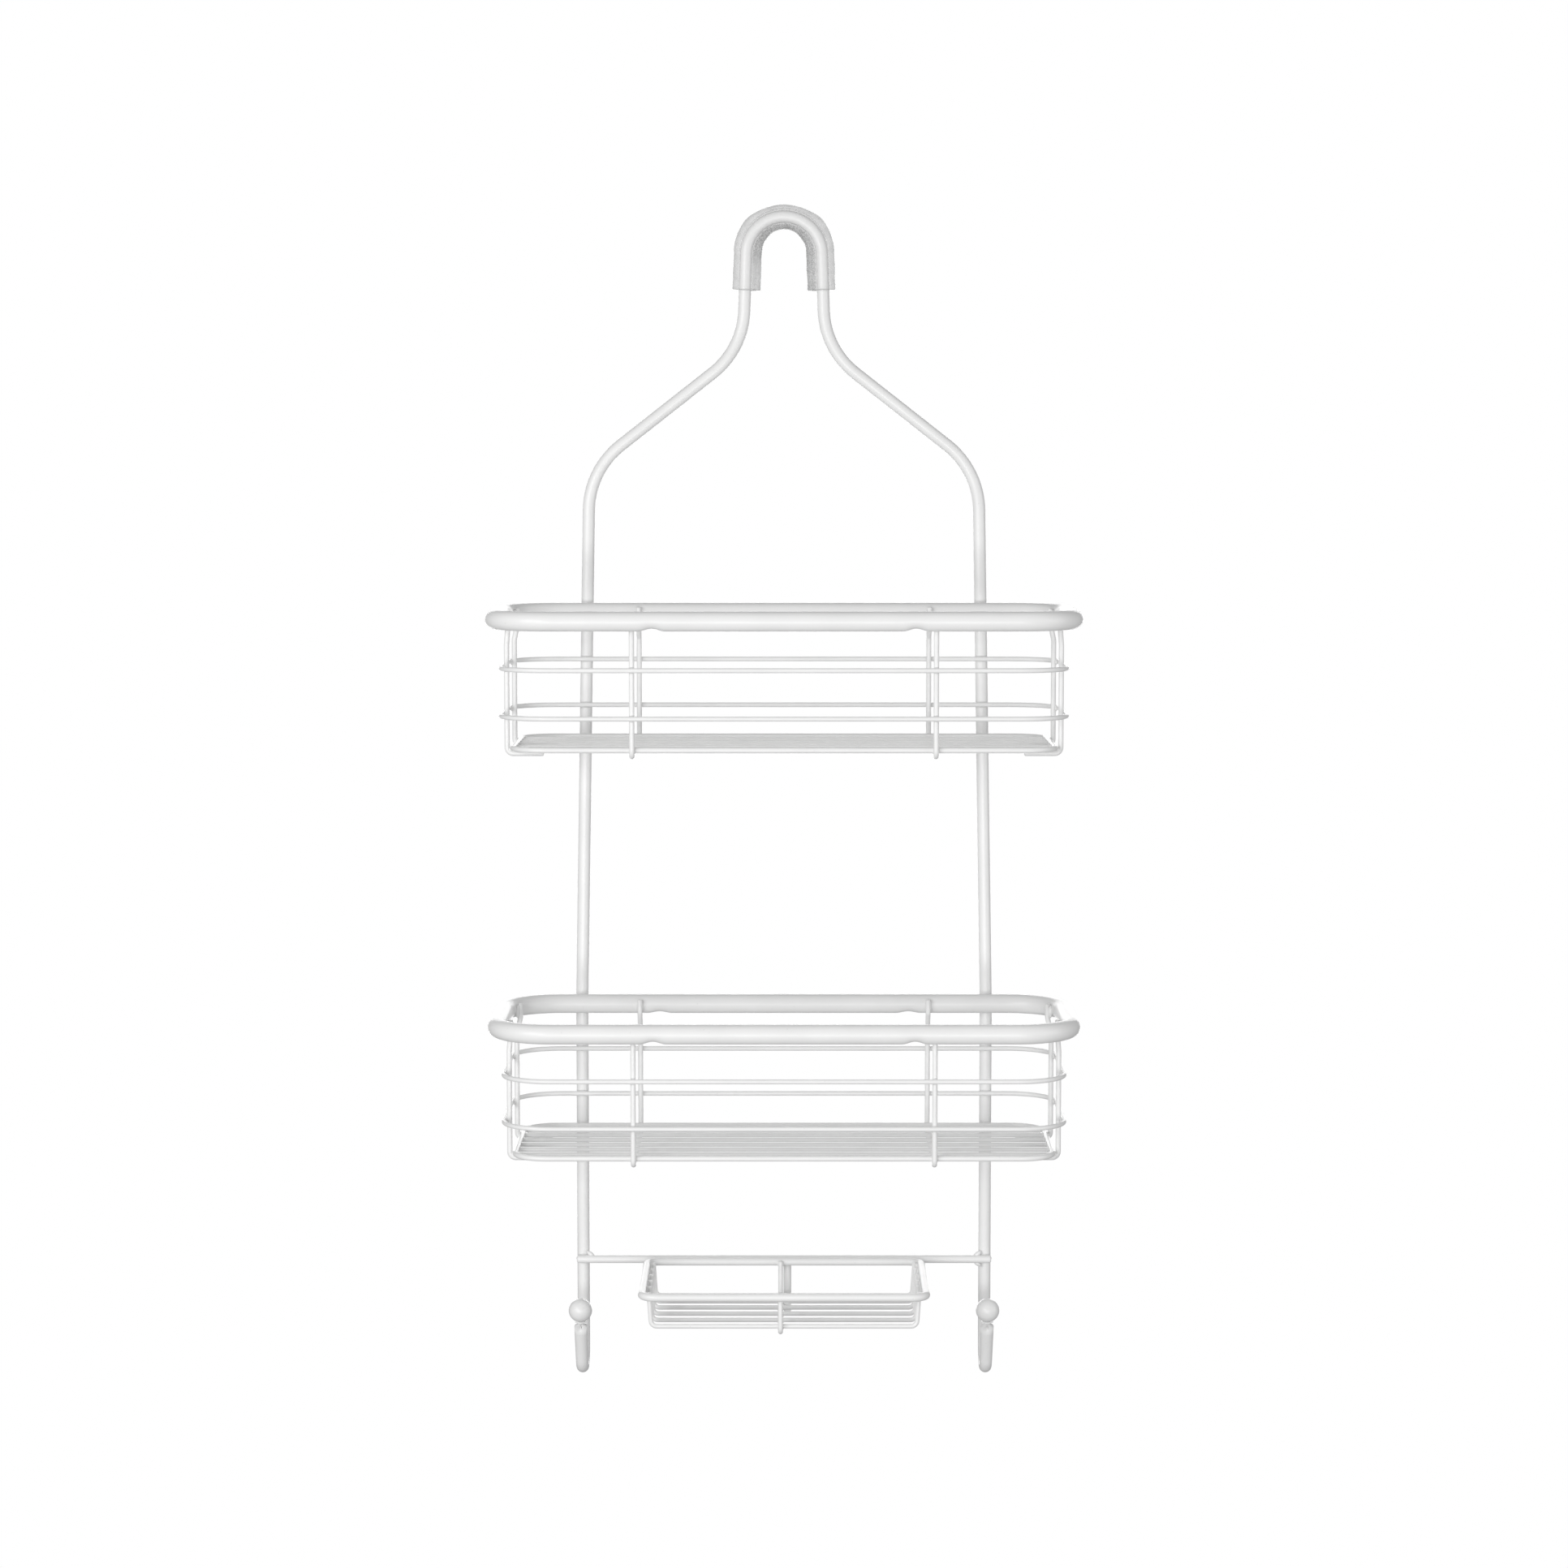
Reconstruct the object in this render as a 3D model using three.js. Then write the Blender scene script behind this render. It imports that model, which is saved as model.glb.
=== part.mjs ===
// Hanging shower caddy: one bent rod that hooks over a shower arm, two wire baskets, a wire soap
// dish and two towel hooks. Millimetres, +Z up, +X to the right, the front faces -Y.
// The origin is the inside crown of the sleeve, where the caddy rests on the shower arm, and the
// rod lies in the plane y = 0.
import * as THREE from 'three';

// ---------------------------------------------------------------- driving dimensions
const weldGap = 0.3;            // clearance between neighbours that are welded or touch

// Hanger rod: arch, neck, shoulders, rails and J-hooks, bent from one length. Every drop is
// measured down from the origin to a centreline.
const rodDiameter = 6.35;
const archRadius = 19.2;        // rod centreline over the shower arm
const legFlare = 2.06;          // degrees that each leg of the arch leans outward
const neckDrop = 60.5;
const neckBendRadius = 42;
const shoulderDrop = 121.7;
const shoulderHalfWidth = 99.4;
const shoulderBendRadius = 43;
const railHalfWidth = 104.35;   // below the point where the rails stop spreading
const railFootDrop = 395;
const railFootBendRadius = 300;
const hookDrop = 584.8;
const hookBendRadius = 10;
const hookLean = 25;            // degrees that the hook's free leg leans forward
const hookLegLength = 24.7;     // straight part of the free leg

// Ball tips of the J-hooks
const ballDiameter = 12;
const ballNeckDiameter = 3;
const ballNeckLength = 1;       // seen between the rod's end face and the ball

// Clear sleeve over the arch
const sleeveOuterDiameter = 13.6;
const sleeveBoreDiameter = 8.6;
const sleeveCrownLift = 0.3;    // the sleeve's centreline runs this far above the rod's at the crown
const sleeveLegDrop = 30.8;     // to the sleeve's two ends

// Baskets: two alike
const rimDiameter = 9.7;
const upperRimDrop = 194.1;
const rimSpacing = 201.5;       // upper rim to lower rim
const rimWidth = 283.9;         // centre to centre
const rimDepth = 102;           // centre to centre
const rimCornerRadius = 28;
const sideWireDiameter = 2.4;
const sideWireHighDrop = 24;    // below the rim's centre
const sideWireLowDrop = 47.5;
const sideWireCornerRadius = 24;
const uprightDiameter = 2.6;
const uprightTopRise = 3;       // uprights stop this far above the rim's centre
const crossWireHalfSpacing = 74;
const endWireSpacing = 53;      // between the two uprights at each end
const endWireSetIn = 5.75;      // from the rim's centreline to the end uprights below it
const endWireFootLength = 18;   // reach of the foot under the floor
const joggleStartDrop = 4;      // where an upright steps out from the rim's inner face
const joggleEndDrop = 13;
const joggleBendRadius = 3;
const floorFrameDiameter = 2.8;
const floorDrop = 63.2;
const floorFrameCornerRadius = 16;
const floorWireDiameter = 2.2;
const floorWireCount = 6;

// Crossbar and soap dish
const crossbarDiameter = 4;
const crossbarDrop = 530;
const dishRimDiameter = 4;
const dishRimStep = 0.4;        // the dish rim sits this much lower than the crossbar
const dishRimWidth = 141.6;     // centre to centre
const dishRimDepth = 82;        // centre to centre
const dishRimCornerRadius = 7;
const dishDepth = 16.1;         // rim's centre to the floor wires' centre
const dishWireDiameter = 2.3;
const dishWireCount = 6;
const dishWireSpacing = 13.6;
const dishWireLean = 1.2;       // the end uprights lean inward by this much
const dishWireBendRadius = 3;
const dishWireTopRise = 1;      // ends stop this far above the rim's centre
const dishCrossWireDiameter = 2.4;
const bracketDiameter = 4;
const bracketBendRadius = 5;
const bracketFootLength = 28.5; // forward from the crossbar's centre

// Facets: sides of each round section, and the angle that one facet of a bend spans
const rodSides = 12;
const rimSides = 14;
const dishRimSides = 10;
const wireSides = 8;
const dishWireSides = 6;
const rodBendStep = 13;
const ringBendStep = 18;
const wireBendStep = 30;
const ballSides = 18;
const ballArcSteps = 9;         // from the neck to the ball's far end

// ---------------------------------------------------------------- places that follow from them
const rodRadius = rodDiameter / 2;
const rimRadius = rimDiameter / 2;
const sideWireRadius = sideWireDiameter / 2;
const uprightRadius = uprightDiameter / 2;
const floorFrameRadius = floorFrameDiameter / 2;
const floorWireRadius = floorWireDiameter / 2;

/** Centre distance of two round pieces that lie against each other. */
const touching = (radiusA, radiusB) => radiusA + weldGap + radiusB;

const sleeveRadius = sleeveOuterDiameter / 2;
const sleeveInset = sleeveBoreDiameter / 2 - rodRadius - weldGap; // the rod lies on the bore's outside
const rodCrownZ = sleeveRadius - sleeveCrownLift;

const crossbarZ = -crossbarDrop;
const crossbarY = -touching(rodRadius, crossbarDiameter / 2);

// ---------------------------------------------------------------- materials
const powderCoat = new THREE.MeshStandardMaterial({ color: 0xf1f1f0, roughness: 0.42, metalness: 0 });
const ballCoat = new THREE.MeshStandardMaterial({ color: 0xeeeeed, roughness: 0.34, metalness: 0 });
const clearVinyl = new THREE.MeshStandardMaterial({
  color: 0xe8eaea, roughness: 0.2, metalness: 0, transparent: true, opacity: 0.4,
});

// ---------------------------------------------------------------- wire bending
const radians = THREE.MathUtils.degToRad;
const sameStation = 1e-6;       // closer than this, two stations are one

/**
 * A path of straight runs joined by round bends, as a wire bender makes it. It is visited only at
 * its stations: the ends of each straight run, and evenly spaced points round each bend.
 */
class WirePath extends THREE.Curve {
  constructor(corners, bendRadii, bendStep, closed = false) {
    super();
    this.closed = closed;
    this.stations = closed ? [] : [WirePath.endStation(corners[0], corners[0], corners[1])];
    const count = corners.length;
    const first = closed ? 0 : 1;
    const last = closed ? count - 1 : count - 2;
    for (let index = first; index <= last; index += 1) {
      const before = corners[(index - 1 + count) % count];
      const after = corners[(index + 1) % count];
      const radius = Array.isArray(bendRadii) ? bendRadii[index - first] : bendRadii;
      this.addBend(WirePath.bend(before, corners[index], after, radius, bendStep));
    }
    if (!closed) this.stations.push(WirePath.endStation(corners.at(-1), corners.at(-2), corners.at(-1)));
  }

  /** Adds a bend's stations; one that starts where the last bend ended shares its station. */
  addBend(stations) {
    const last = this.stations.at(-1);
    const shared = last !== undefined && last.point.distanceTo(stations[0].point) < sameStation;
    this.stations.push(...(shared ? stations.slice(1) : stations));
  }

  static endStation(point, from, to) {
    return { point: point.clone(), tangent: to.clone().sub(from).normalize() };
  }

  /** Stations round the bend at a corner: an arc that touches both straight runs. */
  static bend(before, corner, after, radius, bendStep) {
    const inward = corner.clone().sub(before);
    const outward = after.clone().sub(corner);
    const room = Math.min(inward.length(), outward.length());
    inward.normalize();
    outward.normalize();
    const turn = inward.angleTo(outward);
    const tangentLength = Math.min(radius * Math.tan(turn / 2), room);
    const arcRadius = tangentLength / Math.tan(turn / 2);
    const start = corner.clone().addScaledVector(inward, -tangentLength);
    const toCentre = outward.clone().addScaledVector(inward, -outward.dot(inward)).normalize();
    const steps = Math.max(1, Math.ceil(turn / radians(bendStep)));
    return Array.from({ length: steps + 1 }, (_, step) => {
      const angle = (turn * step) / steps;
      const point = start.clone()
        .addScaledVector(inward, arcRadius * Math.sin(angle))
        .addScaledVector(toCentre, arcRadius * (1 - Math.cos(angle)));
      const tangent = inward.clone().multiplyScalar(Math.cos(angle))
        .addScaledVector(toCentre, Math.sin(angle));
      return { point, tangent };
    });
  }

  get steps() {
    return this.closed ? this.stations.length : this.stations.length - 1;
  }

  station(t) {
    return this.stations[Math.round(t * this.steps) % this.stations.length];
  }

  getPoint(t, target = new THREE.Vector3()) {
    return target.copy(this.station(t).point);
  }

  getPointAt(u, target) {
    return this.getPoint(u, target);
  }

  getTangent(t, target = new THREE.Vector3()) {
    return target.copy(this.station(t).tangent);
  }

  getTangentAt(u, target) {
    return this.getTangent(u, target);
  }
}

const point = (x, y, z) => new THREE.Vector3(x, y, z);

/** A round section, with a round hole when a bore is given. */
function roundSection(diameter, boreDiameter = 0) {
  const section = new THREE.Shape().absarc(0, 0, diameter / 2, 0, 2 * Math.PI, false);
  if (boreDiameter > 0) {
    section.holes.push(new THREE.Path().absarc(0, 0, boreDiameter / 2, 0, 2 * Math.PI, true));
  }
  return section;
}

/** A length of wire, rod or tube with two ends. */
function openWire(corners, diameter, options = {}) {
  const { bends = 0, bore = 0, sides = wireSides, bendStep = wireBendStep } = options;
  const path = new WirePath(corners, bends, bendStep);
  // A full circle is drawn with twice as many sides as curveSegments.
  return new THREE.ExtrudeGeometry(roundSection(diameter, bore), {
    steps: path.steps, curveSegments: sides / 2, bevelEnabled: false, extrudePath: path,
  });
}

/** A level ring of wire or tube with four straight sides and four round corners. */
function wireRing(ring, z, diameter, options = {}) {
  const { sides = wireSides, bendStep = ringBendStep } = options;
  const rightX = ring.width / 2;
  const rearY = ring.centreY + ring.depth / 2;
  const frontY = ring.centreY - ring.depth / 2;
  const corners = [
    point(rightX, rearY, z), point(-rightX, rearY, z), point(-rightX, frontY, z), point(rightX, frontY, z),
  ];
  const path = new WirePath(corners, ring.cornerRadius, bendStep, true);
  return new THREE.TubeGeometry(path, path.steps, diameter / 2, sides, true);
}

/** How far the corner of a ring draws a line inside it, at this inset, in from the end at y. */
function cornerDrawAt(y, ring, inset) {
  const cornerRadius = Math.max(ring.cornerRadius - inset, 0);
  const cornerStart = ring.depth / 2 - inset - cornerRadius;
  const intoCorner = THREE.MathUtils.clamp(Math.abs(y - ring.centreY) - cornerStart, 0, cornerRadius);
  return cornerRadius - Math.sqrt(cornerRadius ** 2 - intoCorner ** 2);
}

/** Half the width, at y, inside a ring at this inset from its centreline. */
const halfWidthInside = (y, ring, inset) => ring.width / 2 - inset - cornerDrawAt(y, ring, inset);

const group = new THREE.Group();

function addMesh(name, geometry, material = powderCoat, parent = group) {
  const mesh = new THREE.Mesh(geometry, material);
  mesh.name = name;
  parent.add(mesh);
  return mesh;
}

// ---------------------------------------------------------------- hanger rod, sleeve, ball tips
/** Corner where the level crown and a leg of the arch would meet, for an arch of this radius. */
const archCornerX = (radius) => radius * Math.tan(radians(90 - legFlare) / 2);
/** How far from the middle a leg of the arch stands at a drop below the origin. */
const legX = (radius, crownZ, drop) => archCornerX(radius) + (crownZ + drop) * Math.tan(radians(legFlare));

const hookTurn = radians(90 - hookLean);
const hookTangent = hookBendRadius * Math.tan(hookTurn / 2);
const hookDirection = point(0, -Math.sin(radians(hookLean)), Math.cos(radians(hookLean)));
const hookCornerY = -hookBendRadius - hookTangent;
/** Centre of the flat end face of a J-hook. */
const hookEnd = (x) => point(x, hookCornerY, -hookDrop)
  .addScaledVector(hookDirection, hookTangent + hookLegLength);

function hangerFrame() {
  const halfCorners = (side) => [
    hookEnd(side * railHalfWidth),
    point(side * railHalfWidth, hookCornerY, -hookDrop),
    point(side * railHalfWidth, 0, -hookDrop),
    point(side * railHalfWidth, 0, -railFootDrop),
    point(side * shoulderHalfWidth, 0, -shoulderDrop),
    point(side * legX(archRadius, rodCrownZ, neckDrop), 0, -neckDrop),
    point(side * archCornerX(archRadius), 0, rodCrownZ),
  ];
  const halfBends = [
    hookBendRadius, hookBendRadius, railFootBendRadius, shoulderBendRadius, neckBendRadius, archRadius,
  ];
  return openWire([...halfCorners(-1), ...halfCorners(1).reverse()], rodDiameter, {
    bends: [...halfBends, ...halfBends.toReversed()], sides: rodSides, bendStep: rodBendStep,
  });
}

function hookSleeve() {
  const radius = archRadius - sleeveInset;
  const cornerX = archCornerX(radius);
  const endX = legX(radius, sleeveRadius, sleeveLegDrop);
  return openWire([
    point(-endX, 0, -sleeveLegDrop), point(-cornerX, 0, sleeveRadius),
    point(cornerX, 0, sleeveRadius), point(endX, 0, -sleeveLegDrop),
  ], sleeveOuterDiameter, {
    bends: radius, bore: sleeveBoreDiameter, sides: rimSides, bendStep: rodBendStep,
  });
}

/** A ball on a short neck, turned about +Y with the neck's foot at the origin. */
function ballTip() {
  const ballRadius = ballDiameter / 2;
  const neckRadius = ballNeckDiameter / 2;
  const centre = ballNeckLength + ballRadius - weldGap;
  const firstAngle = Math.asin(neckRadius / ballRadius);
  const profile = [new THREE.Vector2(0, 0), new THREE.Vector2(neckRadius, 0)];
  for (let step = 0; step <= ballArcSteps; step += 1) {
    const angle = firstAngle + ((Math.PI - firstAngle) * step) / ballArcSteps;
    profile.push(new THREE.Vector2(
      step === ballArcSteps ? 0 : ballRadius * Math.sin(angle),
      centre - ballRadius * Math.cos(angle),
    ));
  }
  return new THREE.LatheGeometry(profile, ballSides);
}

addMesh('hanger_frame', hangerFrame());
addMesh('hook_sleeve', hookSleeve(), clearVinyl);
for (const [sideName, side] of [['left', -1], ['right', 1]]) {
  const ball = addMesh(`hook_ball_${sideName}`, ballTip(), ballCoat);
  ball.position.copy(hookEnd(side * railHalfWidth)).addScaledVector(hookDirection, weldGap);
  ball.quaternion.setFromUnitVectors(point(0, 1, 0), hookDirection);
}

// ---------------------------------------------------------------- baskets
const rim = {
  width: rimWidth,
  depth: rimDepth,
  cornerRadius: rimCornerRadius,
  centreY: -touching(rodRadius, rimRadius) - rimDepth / 2,
};
const rimRearY = rim.centreY + rimDepth / 2;
const rimFrontY = rim.centreY - rimDepth / 2;

// The rear side wires lie on the rails, and the uprights stand inside the side wires.
const sideWireRearY = -touching(rodRadius, sideWireRadius);
const rearUprightY = sideWireRearY - touching(sideWireRadius, uprightRadius);
const rearUprightTopY = rimRearY - touching(rimRadius, uprightRadius);
const frontUprightY = rimFrontY + touching(rimRadius, uprightRadius);
const sideWireFrontY = frontUprightY - touching(uprightRadius, sideWireRadius);

// The floor frame stands inside the uprights, whose feet wrap round under it.
const floorWrapRadius = touching(uprightRadius, floorFrameRadius);
const floorRearY = rearUprightY - floorWrapRadius;
const floorFrontY = frontUprightY + floorWrapRadius;
const floorCentreY = (floorRearY + floorFrontY) / 2;
const endWireX = rimWidth / 2 - endWireSetIn;
const endWireYs = [floorCentreY - endWireSpacing / 2, floorCentreY + endWireSpacing / 2];
const floorFrame = {
  width: 2 * (endWireX - floorWrapRadius),
  depth: floorRearY - floorFrontY,
  cornerRadius: floorFrameCornerRadius,
  centreY: floorCentreY,
};

// The side wires run round outside the uprights, with their corners clear of the end uprights.
const sideWireInset = touching(uprightRadius, sideWireRadius);
const sideWire = {
  depth: sideWireRearY - sideWireFrontY,
  cornerRadius: sideWireCornerRadius,
  centreY: (sideWireRearY + sideWireFrontY) / 2,
};
const sideWireCornerDraw = Math.max(...endWireYs.map((y) => cornerDrawAt(y, sideWire, sideWireInset)));
sideWire.width = 2 * (endWireX + sideWireInset + sideWireCornerDraw);

/** A U-shaped wire from rim to rim under the floor; its rear leg steps back to reach the rails. */
function crossWire(x) {
  return openWire([
    point(x, rearUprightTopY, uprightTopRise),
    point(x, rearUprightTopY, -joggleStartDrop),
    point(x, rearUprightY, -joggleEndDrop),
    point(x, rearUprightY, -floorDrop - floorWrapRadius),
    point(x, frontUprightY, -floorDrop - floorWrapRadius),
    point(x, frontUprightY, uprightTopRise),
  ], uprightDiameter, {
    bends: [joggleBendRadius, joggleBendRadius, floorWrapRadius, floorWrapRadius],
  });
}

/** An upright at the end of the basket: it steps out below the rim and its foot turns in under the floor. */
function endWire(side, y) {
  const topX = halfWidthInside(y, rim, touching(rimRadius, uprightRadius));
  return openWire([
    point(side * topX, y, uprightTopRise),
    point(side * topX, y, -joggleStartDrop),
    point(side * endWireX, y, -joggleEndDrop),
    point(side * endWireX, y, -floorDrop - floorWrapRadius),
    point(side * (endWireX - endWireFootLength), y, -floorDrop - floorWrapRadius),
  ], uprightDiameter, { bends: [joggleBendRadius, joggleBendRadius, floorWrapRadius] });
}

/** A straight wire of the floor: it lies on the cross wires and ends at the floor frame. */
function floorWire(y) {
  const outerEdgeY = y + Math.sign(y - floorFrame.centreY) * floorWireRadius;
  const halfLength = halfWidthInside(outerEdgeY, floorFrame, floorFrameRadius + weldGap);
  const z = -floorDrop - floorWrapRadius + touching(uprightRadius, floorWireRadius);
  return openWire([point(-halfLength, y, z), point(halfLength, y, z)], floorWireDiameter);
}

function addBasket(name, z) {
  const basket = new THREE.Group();
  basket.position.z = z;
  group.add(basket);
  const add = (piece, geometry) => addMesh(`${name}_${piece}`, geometry, powderCoat, basket);

  add('rim', wireRing(rim, 0, rimDiameter, { sides: rimSides, bendStep: rodBendStep }));
  add('side_wire_high', wireRing(sideWire, -sideWireHighDrop, sideWireDiameter));
  add('side_wire_low', wireRing(sideWire, -sideWireLowDrop, sideWireDiameter));
  add('floor_frame', wireRing(floorFrame, -floorDrop, floorFrameDiameter));
  for (const [sideName, side] of [['left', -1], ['right', 1]]) {
    add(`cross_wire_${sideName}`, crossWire(side * crossWireHalfSpacing));
    add(`end_wire_${sideName}_front`, endWire(side, endWireYs[0]));
    add(`end_wire_${sideName}_rear`, endWire(side, endWireYs[1]));
  }
  const pitch = floorFrame.depth / (floorWireCount + 1);
  for (let wire = 1; wire <= floorWireCount; wire += 1) {
    add(`floor_wire_${wire}`, floorWire(floorFrontY + wire * pitch));
  }
}

addBasket('upper', -upperRimDrop);
addBasket('lower', -upperRimDrop - rimSpacing);

// ---------------------------------------------------------------- crossbar and soap dish
const crossbarHalfLength = railHalfWidth + rodRadius;
const dishRimRadius = dishRimDiameter / 2;
const dishWireRadius = dishWireDiameter / 2;
const dishCrossWireRadius = dishCrossWireDiameter / 2;
const bracketRadius = bracketDiameter / 2;

const dishRimZ = crossbarZ - dishRimStep;
const dishRearY = crossbarY - touching(crossbarDiameter / 2, dishRimRadius);
const dishRim = {
  width: dishRimWidth,
  depth: dishRimDepth,
  cornerRadius: dishRimCornerRadius,
  centreY: dishRearY - dishRimDepth / 2,
};
const dishFloorZ = dishRimZ - dishDepth;
// The cross wire and the bracket stand side by side about the middle.
const dishPairSpacing = touching(dishCrossWireRadius, bracketRadius);
const dishCrossWireX = -dishPairSpacing / 2;
const bracketX = dishPairSpacing / 2;

/** A long U-shaped wire of the dish, hung between the rim's two ends. */
function dishWire(y) {
  const topX = dishRimWidth / 2 - touching(dishRimRadius, dishWireRadius);
  const footX = topX - dishWireLean;
  const topZ = dishRimZ + dishWireTopRise;
  return openWire([
    point(-topX, y, topZ), point(-footX, y, dishFloorZ),
    point(footX, y, dishFloorZ), point(topX, y, topZ),
  ], dishWireDiameter, { bends: dishWireBendRadius, sides: dishWireSides });
}

/** The U-shaped wire that crosses under the long ones, from the rear of the rim to the front. */
function dishCrossWire() {
  const reach = dishRimDepth / 2 - touching(dishRimRadius, dishCrossWireRadius);
  const z = dishFloorZ - touching(dishWireRadius, dishCrossWireRadius);
  const topZ = dishRimZ + dishWireTopRise;
  return openWire([
    point(dishCrossWireX, dishRim.centreY + reach, topZ), point(dishCrossWireX, dishRim.centreY + reach, z),
    point(dishCrossWireX, dishRim.centreY - reach, z), point(dishCrossWireX, dishRim.centreY - reach, topZ),
  ], dishCrossWireDiameter, { bends: dishWireBendRadius });
}

/** The stay that drops from the crossbar and runs forward under the dish. */
function dishBracket() {
  const footZ = dishFloorZ - touching(dishWireRadius, bracketRadius);
  return openWire([
    point(bracketX, crossbarY, crossbarZ - crossbarDiameter / 2 - weldGap),
    point(bracketX, crossbarY, footZ),
    point(bracketX, crossbarY - bracketFootLength, footZ),
  ], bracketDiameter, { bends: bracketBendRadius, sides: rodSides, bendStep: wireBendStep });
}

addMesh('crossbar', openWire([
  point(-crossbarHalfLength, crossbarY, crossbarZ), point(crossbarHalfLength, crossbarY, crossbarZ),
], crossbarDiameter, { sides: rodSides }));
addMesh('dish_rim', wireRing(dishRim, dishRimZ, dishRimDiameter, { sides: dishRimSides }));
for (let wire = 1; wire <= dishWireCount; wire += 1) {
  const offset = (wire - (dishWireCount + 1) / 2) * dishWireSpacing;
  addMesh(`dish_wire_${wire}`, dishWire(dishRim.centreY + offset));
}
addMesh('dish_cross_wire', dishCrossWire());
addMesh('dish_bracket', dishBracket());

export default group;
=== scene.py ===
"""Hanging shower caddy in white coated steel: a bent rod with a clear vinyl sleeve, two wire
baskets, a wire soap dish and two towel hooks.

Sizes are in millimetres and are turned to metres when a mesh is made. +Z is up, +X is to the right
and the front faces -Y. The origin is the inside crown of the sleeve.
"""

import math

import bpy
import numpy as np
from mathutils import Matrix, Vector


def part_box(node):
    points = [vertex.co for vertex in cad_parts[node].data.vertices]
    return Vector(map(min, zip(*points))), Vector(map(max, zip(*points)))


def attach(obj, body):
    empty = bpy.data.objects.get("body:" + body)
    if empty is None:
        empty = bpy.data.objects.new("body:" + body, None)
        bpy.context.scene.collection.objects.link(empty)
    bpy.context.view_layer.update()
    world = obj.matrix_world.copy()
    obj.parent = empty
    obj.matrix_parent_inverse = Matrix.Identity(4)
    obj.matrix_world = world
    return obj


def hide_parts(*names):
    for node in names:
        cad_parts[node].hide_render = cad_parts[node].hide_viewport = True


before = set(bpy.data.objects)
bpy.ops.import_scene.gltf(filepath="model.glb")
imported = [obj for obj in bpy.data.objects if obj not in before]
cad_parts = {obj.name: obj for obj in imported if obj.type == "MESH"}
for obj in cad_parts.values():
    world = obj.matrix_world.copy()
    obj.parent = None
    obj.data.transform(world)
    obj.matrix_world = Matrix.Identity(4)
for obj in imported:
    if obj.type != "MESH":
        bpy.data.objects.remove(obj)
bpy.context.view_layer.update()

MM = 0.001
X = np.array([1.0, 0.0, 0.0])
Y = np.array([0.0, 1.0, 0.0])
Z = np.array([0.0, 0.0, 1.0])

# ------------------------------------------------------------------ sizes, as in the frame
GAP = 0.3                    # between neighbours that are welded or touch

ROD_DIAMETER = 6.35
ARCH_RADIUS = 19.2
LEG_FLARE = math.radians(2.06)
NECK_DROP, NECK_BEND = 60.5, 42.0
SHOULDER_DROP, SHOULDER_HALF_WIDTH, SHOULDER_BEND = 121.7, 99.4, 43.0
RAIL_FOOT_DROP, RAIL_FOOT_BEND = 395.0, 300.0
HOOK_BEND = 10.0
HOOK_LEAN = math.radians(25.0)
HOOK_LEG = 24.7
HOOK_SWELL = 0.27            # the coat is this much thicker at the tips of the hooks
HOOK_SWELL_LENGTH = 30.0

BALL_DIAMETER = 12.0
BALL_NECK_DIAMETER = 3.0
BALL_NECK_LENGTH = 1.0

SLEEVE_DIAMETER = 13.6
SLEEVE_BORE = 8.6
SLEEVE_LEG_DROP = 30.8

RIM_DIAMETER = 9.7
RIM_WIDTH, RIM_DEPTH, RIM_CORNER = 283.9, 102.0, 28.0
SIDE_WIRE_DIAMETER, SIDE_WIRE_CORNER = 2.4, 24.0
UPRIGHT_DIAMETER = 2.6
UPRIGHT_TOP_RISE = 3.0
CROSS_WIRE_X = 74.0
END_WIRE_SPACING, END_WIRE_SET_IN, END_WIRE_FOOT = 53.0, 5.75, 18.0
JOGGLE_START, JOGGLE_END, JOGGLE_BEND = 4.0, 13.0, 3.0
FLOOR_FRAME_DIAMETER, FLOOR_FRAME_CORNER = 2.8, 16.0
FLOOR_WIRE_DIAMETER, FLOOR_WIRE_COUNT = 2.2, 6

CROSSBAR_DIAMETER = 4.0
DISH_RIM_DIAMETER = 4.0
DISH_RIM_WIDTH, DISH_RIM_DEPTH, DISH_RIM_CORNER = 141.6, 82.0, 7.0
DISH_DEPTH = 16.1
DISH_WIRE_DIAMETER, DISH_WIRE_COUNT, DISH_WIRE_SPACING = 2.3, 6, 13.6
DISH_WIRE_LEAN, DISH_WIRE_BEND, DISH_WIRE_TOP_RISE = 1.2, 3.0, 1.0
DISH_CROSS_WIRE_DIAMETER = 2.4
BRACKET_DIAMETER, BRACKET_BEND, BRACKET_FOOT = 4.0, 5.0, 28.5

# ------------------------------------------------------------------ places that follow from them


def middle(node):
    """Middle of a CAD node's box, in millimetres."""
    low, high = (np.array(corner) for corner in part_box(node))
    return (low + high) / (2 * MM)


def touching(diameter_a, diameter_b):
    """Centre distance of two round pieces that lie against each other."""
    return diameter_a / 2 + GAP + diameter_b / 2


def corner_draw(y, ring, inset):
    """How far the corner of a ring draws a line inside it, at this inset, in from the end at y:
    the corner's radius less the half chord of its circle there."""
    _, depth, corner, centre_y = ring
    radius = max(corner - inset, 0.0)
    into = min(max(abs(y - centre_y) - (depth / 2 - inset - radius), 0.0), radius)
    return radius - math.sqrt(radius**2 - into**2)


def half_width_inside(y, ring, inset):
    """Half the width, at y, inside a ring at this inset from its centreline."""
    return ring[0] / 2 - inset - corner_draw(y, ring, inset)


# A ring is its width, depth, corner radius and the y of its middle.
RIM = (RIM_WIDTH, RIM_DEPTH, RIM_CORNER, -touching(ROD_DIAMETER, RIM_DIAMETER) - RIM_DEPTH / 2)
RIM_REAR_Y = RIM[3] + RIM_DEPTH / 2
RIM_FRONT_Y = RIM[3] - RIM_DEPTH / 2

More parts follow.
